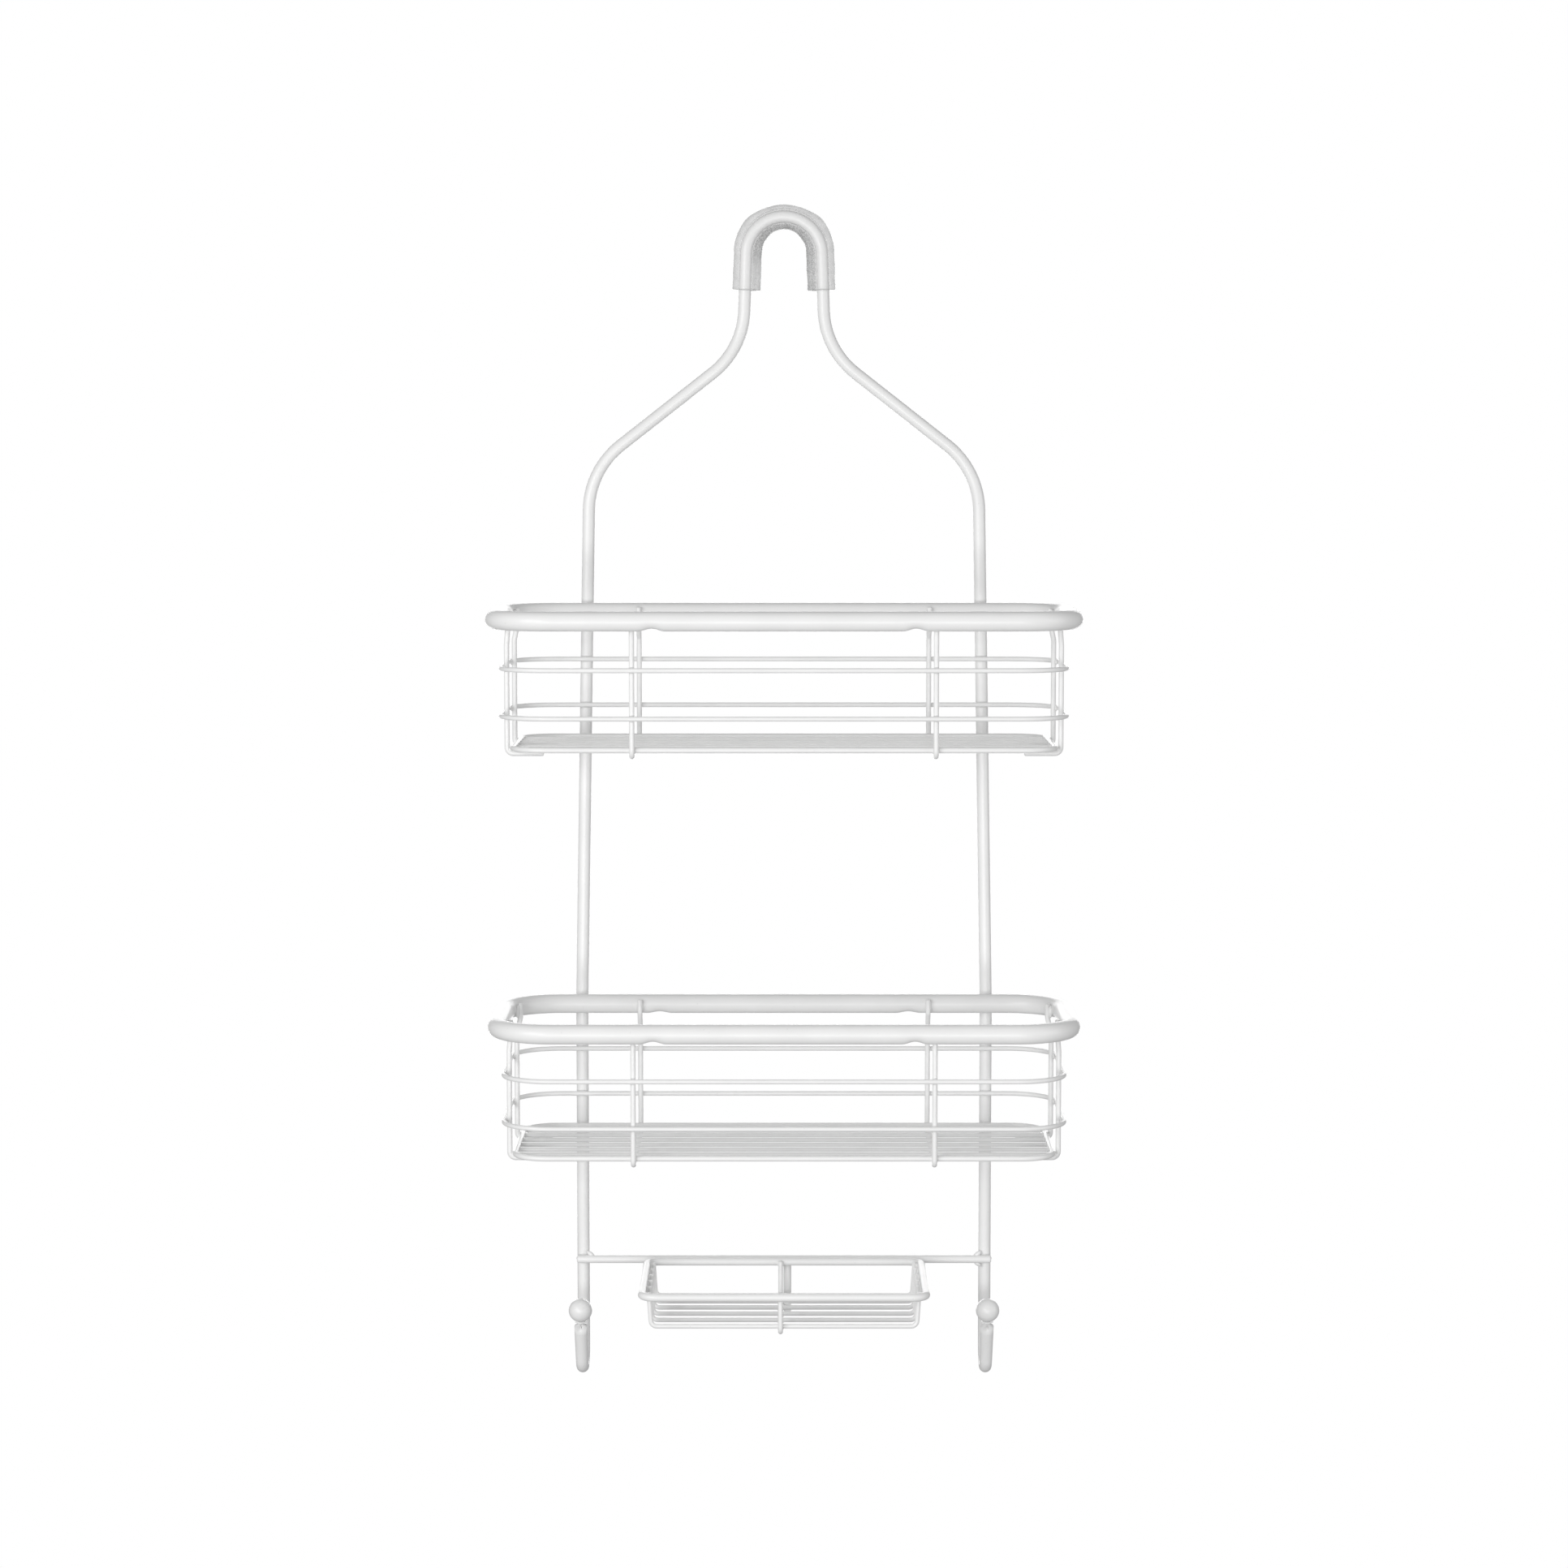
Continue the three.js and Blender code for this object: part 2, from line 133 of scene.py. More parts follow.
SIDE_REAR_Y = -touching(ROD_DIAMETER, SIDE_WIRE_DIAMETER)
UPRIGHT_REAR_Y = SIDE_REAR_Y - touching(SIDE_WIRE_DIAMETER, UPRIGHT_DIAMETER)
UPRIGHT_REAR_TOP_Y = RIM_REAR_Y - touching(RIM_DIAMETER, UPRIGHT_DIAMETER)
UPRIGHT_FRONT_Y = RIM_FRONT_Y + touching(RIM_DIAMETER, UPRIGHT_DIAMETER)
SIDE_FRONT_Y = UPRIGHT_FRONT_Y - touching(UPRIGHT_DIAMETER, SIDE_WIRE_DIAMETER)

WRAP = touching(UPRIGHT_DIAMETER, FLOOR_FRAME_DIAMETER)
FLOOR_REAR_Y = UPRIGHT_REAR_Y - WRAP
FLOOR_FRONT_Y = UPRIGHT_FRONT_Y + WRAP
FLOOR_MIDDLE_Y = (FLOOR_REAR_Y + FLOOR_FRONT_Y) / 2
END_WIRE_X = RIM_WIDTH / 2 - END_WIRE_SET_IN
END_WIRE_YS = (FLOOR_MIDDLE_Y - END_WIRE_SPACING / 2, FLOOR_MIDDLE_Y + END_WIRE_SPACING / 2)
FLOOR_FRAME = (2 * (END_WIRE_X - WRAP), FLOOR_REAR_Y - FLOOR_FRONT_Y, FLOOR_FRAME_CORNER,
               FLOOR_MIDDLE_Y)
FLOOR_DROP = middle("upper_floor_frame")[2] - middle("upper_rim")[2]
FLOOR_WIRE_LIFT = touching(UPRIGHT_DIAMETER, FLOOR_WIRE_DIAMETER) - WRAP
FLOOR_PITCH = FLOOR_FRAME[1] / (FLOOR_WIRE_COUNT + 1)
FLOOR_WIRE_YS = [FLOOR_FRONT_Y + number * FLOOR_PITCH for number in range(1, FLOOR_WIRE_COUNT + 1)]

SIDE_INSET = touching(UPRIGHT_DIAMETER, SIDE_WIRE_DIAMETER)
SIDE_MIDDLE_Y = (SIDE_REAR_Y + SIDE_FRONT_Y) / 2
SIDE_DEPTH = SIDE_REAR_Y - SIDE_FRONT_Y
SIDE_DRAW = max(corner_draw(y, (0, SIDE_DEPTH, SIDE_WIRE_CORNER, SIDE_MIDDLE_Y), SIDE_INSET)
                for y in END_WIRE_YS)
SIDE_RING = (2 * (END_WIRE_X + SIDE_INSET + SIDE_DRAW), SIDE_DEPTH, SIDE_WIRE_CORNER, SIDE_MIDDLE_Y)

CROSSBAR_Z = middle("crossbar")[2]
CROSSBAR_Y = -touching(ROD_DIAMETER, CROSSBAR_DIAMETER)
DISH_RIM_Z = middle("dish_rim")[2]
DISH_REAR_Y = CROSSBAR_Y - touching(CROSSBAR_DIAMETER, DISH_RIM_DIAMETER)
DISH_RING = (DISH_RIM_WIDTH, DISH_RIM_DEPTH, DISH_RIM_CORNER, DISH_REAR_Y - DISH_RIM_DEPTH / 2)
DISH_FLOOR_Z = DISH_RIM_Z - DISH_DEPTH
DISH_YS = [DISH_RING[3] + (number - (DISH_WIRE_COUNT + 1) / 2) * DISH_WIRE_SPACING
           for number in range(1, DISH_WIRE_COUNT + 1)]
DISH_CROSS_X = middle("dish_cross_wire")[0]
BRACKET_X = middle("dish_bracket")[0]

RAIL_X = middle("hook_ball_right")[0]
RAIL_JOINT_Y = -ROD_DIAMETER / 2 - GAP / 2
BAR_REACH = RAIL_X + ROD_DIAMETER / 2
BAR_UNDERSIDE_Z = CROSSBAR_Z - CROSSBAR_DIAMETER / 2 - GAP
ROD_CROWN_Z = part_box("hanger_frame")[1][2] / MM - ROD_DIAMETER / 2
ARCH_CORNER_X = ARCH_RADIUS * math.tan((math.pi / 2 - LEG_FLARE) / 2)
HOOK_TANGENT = HOOK_BEND * math.tan((math.pi / 2 - HOOK_LEAN) / 2)
HOOK_CORNER_Y = -HOOK_BEND - HOOK_TANGENT
HOOK_DIRECTION = np.array([0.0, -math.sin(HOOK_LEAN), math.cos(HOOK_LEAN)])
BALL_OFFSET = BALL_NECK_LENGTH + BALL_DIAMETER / 2
HOOK_Z = (middle("hook_ball_right")[2]
          - (HOOK_TANGENT + HOOK_LEG + BALL_OFFSET) * HOOK_DIRECTION[2])


def hook_end(x):
    """Centre of a hook's end face."""
    return np.array([x, HOOK_CORNER_Y, HOOK_Z]) + HOOK_DIRECTION * (HOOK_TANGENT + HOOK_LEG)


def rail_x(z):
    """Half the spread of the rails at a height: they lean outward down to their foot."""
    lean = (RAIL_X - SHOULDER_HALF_WIDTH) / (RAIL_FOOT_DROP - SHOULDER_DROP)
    return min(SHOULDER_HALF_WIDTH + (-z - SHOULDER_DROP) * lean, RAIL_X)


# ------------------------------------------------------------------ surfaces
# A surface is its vertices in millimetres, its quads and its triangles.
END_STEPS = 4                # points along a rounded end edge
WIRE_SIDES, BAR_SIDES = 14, 24
RUN_SPACING = 12.0           # the longest step along a straight run of wire


def unit(vectors):
    return vectors / np.linalg.norm(vectors, axis=-1, keepdims=True)


def smooth_step(values):
    """0 below 0, 1 above 1, and t * t * (3 - 2 t) between."""
    t = np.clip(values, 0.0, 1.0)
    return t * t * (3 - 2 * t)


def bend(before, corner, after, radius, step):
    """An arc that touches both runs. It starts radius * tan(turn / 2) before the corner, and its
    points are start + radius * (sin a * inward + (1 - cos a) * towards the centre)."""
    inward, outward = unit(corner - before), unit(after - corner)
    turn = math.acos(float(np.clip(inward @ outward, -1, 1)))
    start = corner - radius * math.tan(turn / 2) * inward
    to_centre = unit(outward - (outward @ inward) * inward)
    angle = np.linspace(0, turn, max(2, math.ceil(turn / step) + 1))[:, None]
    points = start + radius * (np.sin(angle) * inward + (1 - np.cos(angle)) * to_centre)
    return points, np.cos(angle) * inward + np.sin(angle) * to_centre


def bent_path(corners, radii, spacing=6.0, step=math.radians(5), closed=False):
    """Points and directions along straight runs joined by round bends. A straight run has a point
    at least every spacing."""
    corners = np.array(corners, float)
    count = len(corners)
    turns = range(count) if closed else range(1, count - 1)
    arcs = [bend(corners[i - 1], corners[i], corners[(i + 1) % count], radius, step)
            for i, radius in zip(turns, np.broadcast_to(radii, len(turns)))]
    if not closed:
        first, last = corners[:1], corners[-1:]
        arcs = [(first, unit(corners[1] - first)), *arcs, (last, unit(last - corners[-2]))]
    points, directions = [], []
    for index, (arc_points, arc_directions) in enumerate(arcs):
        points.append(arc_points)
        directions.append(arc_directions)
        if not closed and index == len(arcs) - 1:
            break
        run_end = arcs[(index + 1) % len(arcs)][0][0]
        run = run_end - arc_points[-1]
        steps = math.ceil(float(np.linalg.norm(run)) / spacing)
        between = np.arange(1, steps)[:, None] / max(steps, 1)
        points.append(arc_points[-1] + between * run)
        directions.append(np.repeat(arc_directions[-1:], len(between), axis=0))
    points, directions = np.concatenate(points), np.concatenate(directions)
    apart = np.linalg.norm(points - np.roll(points, 1, axis=0), axis=1) > 1e-6
    return points[apart], directions[apart]


def grid_quads(rows, columns, closed_rows):
    """Quads of a grid whose columns close on themselves, and whose rows do if asked."""
    row = np.arange(rows if closed_rows else rows - 1)[:, None]
    column = np.arange(columns)[None, :]
    next_row, next_column = (row + 1) % rows, (column + 1) % columns
    corners = [row * columns + column, row * columns + next_column,
               next_row * columns + next_column, next_row * columns + column]
    return np.stack(np.broadcast_arrays(*corners), axis=-1).reshape(-1, 4)


def swept(points, directions, side_on, half_width, half_height, sides, closed, shift=0.0):
    """A section carried along a path: point = centre + half_width * cos a * side_on
    + (shift + half_height * sin a) * (direction x side_on). An open path has its ends closed."""
    side_on = np.broadcast_to(side_on, points.shape)
    other = np.cross(directions, side_on)
    angle = np.arange(sides) * 2 * math.pi / sides
    column = [np.reshape(value, (-1, 1)) if np.ndim(value) == 1 else value
              for value in (half_width, half_height, shift)]
    across = np.broadcast_to(column[0] * np.cos(angle), (len(points), sides))
    along = np.broadcast_to(column[2] + column[1] * np.sin(angle), (len(points), sides))
    grid = points[:, None] + across[..., None] * side_on[:, None] + along[..., None] * other[:, None]
    vertices = grid.reshape(-1, 3)
    quads = grid_quads(len(points), sides, closed)
    if closed:
        return vertices, quads, np.zeros((0, 3), int)
    count = len(vertices)
    ring = np.arange(sides)
    following = (ring + 1) % sides
    last = count - sides
    start = np.stack([np.full(sides, count), following, ring], axis=-1)
    end = np.stack([np.full(sides, count + 1), last + ring, last + following], axis=-1)
    centres = np.stack([vertices[:sides].mean(0), vertices[-sides:].mean(0)])
    return np.concatenate([vertices, centres]), quads, np.concatenate([start, end])


def tube(points, directions, side_on, radius, sides, closed=False):
    """A round section carried along a path."""
    return swept(points, directions, side_on, radius, radius, sides, closed)


def rounded_ends(points, directions, radius, edge, steps=END_STEPS):
    """Path and radii with both end edges rounded: over the last edge millimetres the radius is
    radius - edge * (1 - sqrt(1 - t * t)), with t from 0 to 1 at the end face."""
    radius = np.broadcast_to(radius, len(points))
    angle = np.linspace(0, math.pi / 2, steps + 1)
    inset = edge * (1 - np.sin(angle))[:0:-1]
    shrink = edge * (1 - np.cos(angle))[:0:-1]
    start = points[0] + inset[:, None] * directions[0]
    end = (points[-1] - inset[:, None] * directions[-1])[::-1]
    inner_start = points[:1] + edge * directions[:1]
    inner_end = points[-1:] - edge * directions[-1:]
    new_points = np.concatenate([start, inner_start, points[1:-1], inner_end, end])
    new_directions = np.concatenate([
        np.repeat(directions[:1], steps + 1, 0), directions[1:-1],
        np.repeat(directions[-1:], steps + 1, 0)])
    new_radius = np.concatenate([radius[0] - shrink, radius, (radius[-1] - shrink)[::-1]])
    return new_points, new_directions, new_radius


def wire(corners, diameter, bends=0.0, side_on=Y, sides=WIRE_SIDES, edge_share=0.55):
    """A length of round wire with its cut ends rounded by the coat, to this share of its radius."""
    corners = np.array(corners, float)
    if len(corners) == 2:
        run = corners[1] - corners[0]
        steps = max(2, math.ceil(float(np.linalg.norm(run)) / RUN_SPACING))
        points = corners[0] + np.linspace(0, 1, steps + 1)[:, None] * run
        directions = np.repeat(unit(run)[None], steps + 1, axis=0)
    else:
        points, directions = bent_path(corners, bends, RUN_SPACING, math.radians(10))
    radius = diameter / 2
    points, directions, radii = rounded_ends(points, directions, radius, edge_share * radius)
    return tube(points, directions, side_on, radii, sides)


def ring_path(ring, z, spacing=RUN_SPACING, step=math.radians(6)):
    """Centreline of a level ring with four round corners, from the rear right round the left."""
    width, depth, corner, centre_y = ring
    right, rear, front = width / 2, centre_y + depth / 2, centre_y - depth / 2
    corners = [(right, rear, z), (-right, rear, z), (-right, front, z), (right, front, z)]
    return bent_path(corners, corner, spacing, step, closed=True)


def wire_ring(ring, z, diameter, sides=WIRE_SIDES):
    """A level ring of round wire."""
    points, directions = ring_path(ring, z)
    return tube(points, directions, Z, diameter / 2, sides, closed=True)


def beads(rows, sides=12, bands=7):
    """Weld nuggets, each a closed oval: middle + a * cos p * cos q * A + b * cos p * sin q * B
    + c * sin p * C, with C = A x B. A row is the middle, the directions A and B, and (a, b, c)."""
    centre, a_axis, b_axis, size = (np.array(column, float) for column in zip(*rows))
    c_axis = np.cross(a_axis, b_axis)
    lift = np.linspace(-math.pi / 2, math.pi / 2, bands + 2)[1:-1, None]
    turn = np.arange(sides)[None, :] * 2 * math.pi / sides
    round_part = np.cos(lift)[..., None]
    unit_a = (round_part * np.cos(turn)[..., None]).reshape(-1, 1)
    unit_b = (round_part * np.sin(turn)[..., None]).reshape(-1, 1)
    unit_c = np.repeat(np.sin(lift), sides, axis=1).reshape(-1, 1)
    unit_a, unit_b = np.append(unit_a, [[0], [0]], 0), np.append(unit_b, [[0], [0]], 0)
    unit_c = np.append(unit_c, [[-1], [1]], 0)
    vertices = (centre[:, None] + unit_a * (size[:, :1] * a_axis)[:, None]
                + unit_b * (size[:, 1:2] * b_axis)[:, None] + unit_c * (size[:, 2:] * c_axis)[:, None])
    quads = grid_quads(bands, sides, False)
    column = np.arange(sides)
    following = (column + 1) % sides
    pole = bands * sides
    top = (bands - 1) * sides
    low = np.stack([np.full(sides, pole), following, column], axis=-1)
    high = np.stack([np.full(sides, pole + 1), top + column, top + following], axis=-1)
    triangles = np.concatenate([low, high])
    start = (np.arange(len(rows)) * (pole + 2))[:, None, None]
    return (vertices.reshape(-1, 3), (quads[None] + start).reshape(-1, 4),
            (triangles[None] + start).reshape(-1, 3))


# ------------------------------------------------------------------ finishes
# How many patches of a pattern there are to a metre
COAT_CLOUDS, COAT_PEEL, COAT_TOOTH, COAT_PINHOLES = 38.0, 520.0, 2600.0, 150.0
VINYL_CLOUDS, VINYL_WAVES, VINYL_GRAIN, VINYL_BUBBLES = 260.0, 110.0, 1500.0, 900.0

COAT_BUMP, VINYL_BUMP = 0.06, 0.15      # height of the relief, in millimetres
# The clear tone is painted shade standing in for the darker surroundings seen through the vinyl; the
# hollow tone is painted shade of the gap between bore and rod; the bubble tone is that of the trapped
# bubbles.
CLEAR_SHADE_TONE, HOLLOW_SHADE_TONE, BUBBLE_TONE = 0.60, 0.26, 0.62
SHADOW_SHARE = 0.25          # how much of the vinyl's density a shadow keeps


def add_node(tree, kind, **settings):
    """A new shader node with these settings."""
    node = tree.nodes.new(kind)
    for name, value in settings.items():
        setattr(node, name, value)
    return node


def set_inputs(node, **values):
    """Sets a node's inputs by name, with _ for a space."""
    for name, value in values.items():
        node.inputs[name.replace("_", " ")].default_value = value
    return node


def scaled_noise(tree, place, per_metre, detail):
    """Soft noise of this many patches to a metre."""
    noise = add_node(tree, "ShaderNodeTexNoise")
    set_inputs(noise, Scale=per_metre, Detail=detail, Roughness=0.5)
    tree.links.new(place, noise.inputs["Vector"])
    return noise.outputs["Fac"]


def scaled_cells(tree, place, per_metre):
    """Distance to the nearest of this many scattered points to a metre, as a share of a cell."""
    cells = add_node(tree, "ShaderNodeTexVoronoi", feature="F1")
    set_inputs(cells, Scale=per_metre, Randomness=1.0)
    tree.links.new(place, cells.inputs["Vector"])
    return cells.outputs["Distance"]


def mixed(tree, share, first, second):
    """A colour between two colours, by a share from 0 to 1."""
    mix = add_node(tree, "ShaderNodeMix", data_type="RGBA")
    tree.links.new(share, mix.inputs[0])
    tree.links.new(first, mix.inputs[6])
    tree.links.new(second, mix.inputs[7])
    return mix.outputs[2]


def spread(tree, value, low, high, from_low=0.3, from_high=0.7):
    """Carries from_low..from_high of a value to low..high; low and high may be sockets."""
    node = add_node(tree, "ShaderNodeMapRange", interpolation_type="SMOOTHSTEP")
    set_inputs(node, From_Min=from_low, From_Max=from_high)
    tree.links.new(value, node.inputs["Value"])
    for name, end in (("To Min", low), ("To Max", high)):
        if isinstance(end, (int, float)):
            node.inputs[name].default_value = end
        else:
            tree.links.new(end, node.inputs[name])
    return node.outputs["Result"]


def arithmetic(tree, operation, *values, clamp=False):
    """A Math node fed with numbers or sockets."""
    node = add_node(tree, "ShaderNodeMath", operation=operation, use_clamp=clamp)
    for socket, value in zip(node.inputs, values):
        if isinstance(value, (int, float)):
            socket.default_value = value
        else:
            tree.links.new(value, socket)
    return node.outputs[0]


def multiply_add(tree, value, factor, added, clamp=False):
    return arithmetic(tree, "MULTIPLY_ADD", value, factor, added, clamp=clamp)


def new_group(name, inputs, outputs):
    """A shader node group with its inputs as (name, kind, value) and outputs as (name, kind)."""
    group = bpy.data.node_groups.new(name, "ShaderNodeTree")
    for socket_name, kind, value in inputs:
        socket = group.interface.new_socket(socket_name, in_out="INPUT", socket_type=kind)
        socket.default_value = value
    for socket_name, kind in outputs:
        group.interface.new_socket(socket_name, in_out="OUTPUT", socket_type=kind)
    return group, group.nodes.new("NodeGroupInput"), group.nodes.new("NodeGroupOutput")


def coat_skin():
    """Skin of a sprayed and baked coat: a low orange peel over a fine tooth, thin cloudy changes of
    tone and gloss along the wire, and sparse pinholes where dust lay under the coat."""
    number, colour = "NodeSocketFloat", "NodeSocketColor"
    group, given, made = new_group(
        "coat_skin",
        [("Tone", colour, (1, 1, 1, 1)), ("Cloudiness", number, 0.03), ("Roughness", number, 0.4),
         ("Gloss Swing", number, 0.05), ("Peel", number, 1.0), ("Tooth", number, 0.3)],
        [("Color", colour), ("Roughness", number), ("Height", number)])
    place = add_node(group, "ShaderNodeTexCoord").outputs["Object"]
    clouds = scaled_noise(group, place, COAT_CLOUDS, 3.0)
    peel = scaled_noise(group, place, COAT_PEEL, 1.0)
    tooth = scaled_noise(group, place, COAT_TOOTH, 1.0)
    pinhole = spread(group, scaled_cells(group, place, COAT_PINHOLES), 1.0, 0.0, 0.03, 0.09)

    darkest = arithmetic(group, "SUBTRACT", 1.0, given.outputs["Cloudiness"])
    shade = spread(group, clouds, darkest, 1.0)
    dusted = multiply_add(group, pinhole, -0.06, shade)
    toned = add_node(group, "ShaderNodeVectorMath", operation="SCALE")
    group.links.new(given.outputs["Tone"], toned.inputs[0])
    group.links.new(dusted, toned.inputs["Scale"])
    group.links.new(toned.outputs[0], made.inputs["Color"])

    rougher = arithmetic(group, "ADD", given.outputs["Roughness"], given.outputs["Gloss Swing"])
    group.links.new(spread(group, clouds, rougher, given.outputs["Roughness"]), made.inputs["Roughness"])

    low = arithmetic(group, "MULTIPLY", peel, given.outputs["Peel"])
    fine = arithmetic(group, "MULTIPLY", tooth, given.outputs["Tooth"])
    relief = arithmetic(group, "ADD", low, fine)
    group.links.new(multiply_add(group, pinhole, -0.8, relief), made.inputs["Height"])
    return group


def vinyl_body():
    """Soft clear vinyl that has clouded: thin clouds all over, and on the hollow side of the arch small
    trapped bubbles, bright on a dark ground that is painted shade of the gap between bore and rod,
    with a surface that waves slightly."""
    number, colour = "NodeSocketFloat", "NodeSocketColor"
    group, given, made = new_group(
        "vinyl_body",
        [("Clear Tone", colour, (1, 1, 1, 1)), ("Hollow Tone", colour, (0.5, 0.5, 0.5, 1)),
         ("Bubble Tone", colour, (0.8, 0.8, 0.8, 1)), ("Hollow Side", number, 0.0),
         ("Veil", number, 0.3), ("Roughness", number, 0.2)],
        [("Color", colour), ("Alpha", number), ("Roughness", number), ("Height", number)])
    place = add_node(group, "ShaderNodeTexCoord").outputs["Object"]
    clouds = scaled_noise(group, place, VINYL_CLOUDS, 4.0)
    waves = scaled_noise(group, place, VINYL_WAVES, 1.0)
    grain = scaled_noise(group, place, VINYL_GRAIN, 3.0)
    bubble = spread(group, scaled_cells(group, place, VINYL_BUBBLES), 1.0, 0.0, 0.18, 0.40)

    hollow = given.outputs["Hollow Side"]
    cloudy = spread(group, clouds, 0.0, 1.0, 0.38, 0.64)
    grainy = spread(group, grain, 0.0, 1.0, 0.40, 0.62)
    speckled = arithmetic(group, "MAXIMUM", arithmetic(group, "MULTIPLY", bubble, 0.8), grainy)
    # The dark hollow tone is painted shade of the gap between bore and rod; the bright bubbles on it are
    # real.
    shade_and_bubbles = mixed(group, speckled, given.outputs["Hollow Tone"], given.outputs["Bubble Tone"])
    tone = mixed(group, hollow, given.outputs["Clear Tone"], shade_and_bubbles)
    group.links.new(tone, made.inputs["Color"])

    swing = arithmetic(group, "SUBTRACT", cloudy, 0.5)
    denser = multiply_add(group, swing, 0.25, 1.0)
    group.links.new(arithmetic(group, "MULTIPLY", given.outputs["Veil"], denser), made.inputs["Alpha"])
    rough = multiply_add(group, cloudy, 0.12, given.outputs["Roughness"])
    group.links.new(rough, made.inputs["Roughness"])
    raised = arithmetic(group, "MULTIPLY", speckled, hollow)
    group.links.new(multiply_add(group, waves, 3.0, raised), made.inputs["Height"])
    return group


def new_finish(name):
    """A new material with its shader."""
    material = bpy.data.materials.new(name)
    material.use_nodes = True
    tree = material.node_tree
    return material, tree, tree.nodes["Principled BSDF"]


def raise_surface(tree, shader, height, strength, millimetres):
    """Feeds a height to the shader's normal through a Bump node."""
    bump = add_node(tree, "ShaderNodeBump")
    set_inputs(bump, Strength=strength, Distance=millimetres * MM)
    tree.links.new(height, bump.inputs["Height"])
    tree.links.new(bump.outputs["Normal"], shader.inputs["Normal"])


def painted_steel(name, skin, tone, roughness, peel, gloss):
    """White coated steel: the coat's skin feeds colour, roughness and bump, under a thin gloss."""
    material, tree, shader = new_finish(name)
    set_inputs(shader, Metallic=0.0, IOR=1.5, Specular_IOR_Level=0.45, Coat_Weight=gloss,
               Coat_Roughness=0.13, Coat_IOR=1.45)
    coat = add_node(tree, "ShaderNodeGroup", node_tree=skin)
    set_inputs(coat, Tone=(*tone, 1), Roughness=roughness, Peel=peel)
    tree.links.new(coat.outputs["Color"], shader.inputs["Base Color"])
    tree.links.new(coat.outputs["Roughness"], shader.inputs["Roughness"])
    raise_surface(tree, shader, coat.outputs["Height"], 0.35, COAT_BUMP)
    return material


def clear_vinyl(name, body):
    """Clear sleeve: see-through where it faces the eye, and denser towards its edges."""
    material, tree, shader = new_finish(name)
    set_inputs(shader, Metallic=0.0, IOR=1.45, Specular_IOR_Level=0.4, Transmission_Weight=0.0)
    vinyl = add_node(tree, "ShaderNodeGroup", node_tree=body)
    # The grey clear tone is painted shade for the surroundings seen through the vinyl, and the hollow
    # tone painted shade of the gap between bore and rod.
    set_inputs(vinyl, Clear_Tone=(*[CLEAR_SHADE_TONE] * 3, 1), Hollow_Tone=(*[HOLLOW_SHADE_TONE] * 3, 1),
               Bubble_Tone=(*[BUBBLE_TONE] * 3, 1), Roughness=0.14)
    for attribute, socket in (("hollow_side", "Hollow Side"), ("veil", "Veil")):
        stored = add_node(tree, "ShaderNodeAttribute", attribute_name=attribute)
        tree.links.new(stored.outputs["Fac"], vinyl.inputs[socket])
    edge_of_view = add_node(tree, "ShaderNodeLayerWeight")
    set_inputs(edge_of_view, Blend=0.12)
    denser = multiply_add(tree, edge_of_view.outputs["Facing"], 0.45, vinyl.outputs["Alpha"], True)
    # Light passes the vinyl more easily than the eye does, so the rod inside stays bright.
    light_path = add_node(tree, "ShaderNodeLightPath")
    is_shadow = light_path.outputs["Is Shadow Ray"]
    let_by = multiply_add(tree, is_shadow, SHADOW_SHARE - 1.0, 1.0)
    denser = arithmetic(tree, "MULTIPLY", denser, let_by)
    tree.links.new(vinyl.outputs["Color"], shader.inputs["Base Color"])
    tree.links.new(denser, shader.inputs["Alpha"])
    tree.links.new(vinyl.outputs["Roughness"], shader.inputs["Roughness"])
    raise_surface(tree, shader, vinyl.outputs["Height"], 0.5, VINYL_BUMP)
    return material


SKIN = coat_skin()
POWDER_COAT = painted_steel("powder_coat_white", SKIN, (0.90, 0.90, 0.897), 0.42, 1.0, 0.30)
BALL_COAT = painted_steel("ball_coat_white", SKIN, (0.885, 0.885, 0.882), 0.38, 0.6, 0.35)
CLEAR_SLEEVE = clear_vinyl("clear_vinyl", vinyl_body())


def add_piece(name, surface, material, slot, *nodes):
    """Makes a mesh of a surface, gives it its finish and hides the CAD nodes it stands for."""
    vertices, quads, triangles = surface
    mesh = bpy.data.meshes.new(name)
    mesh.from_pydata((vertices * MM).tolist(), [], [*quads.tolist(), *triangles.tolist()])
    mesh.shade_smooth()
    mesh.materials.append(material)
    piece = bpy.data.objects.new(name, mesh)
    bpy.context.scene.collection.objects.link(piece)
    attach(piece, "root")
    if nodes:
        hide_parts(*nodes)
    return piece


def add_coated(name, surface, *nodes):
    """A piece of the white coated steel."""
    return add_piece(name, surface, POWDER_COAT, "powder_coat", *nodes)


# ------------------------------------------------------------------ hanger rod and balls
ROD_SIDES, BALL_SIDES = 32, 48
ROD_END_EDGE = 0.55          # radius of the rod's end edges
BALL_SINK = 0.3              # how far the neck reaches into the rod's end
NECK_FILLET, NECK_FILLET_LENGTH = 0.7, 0.3


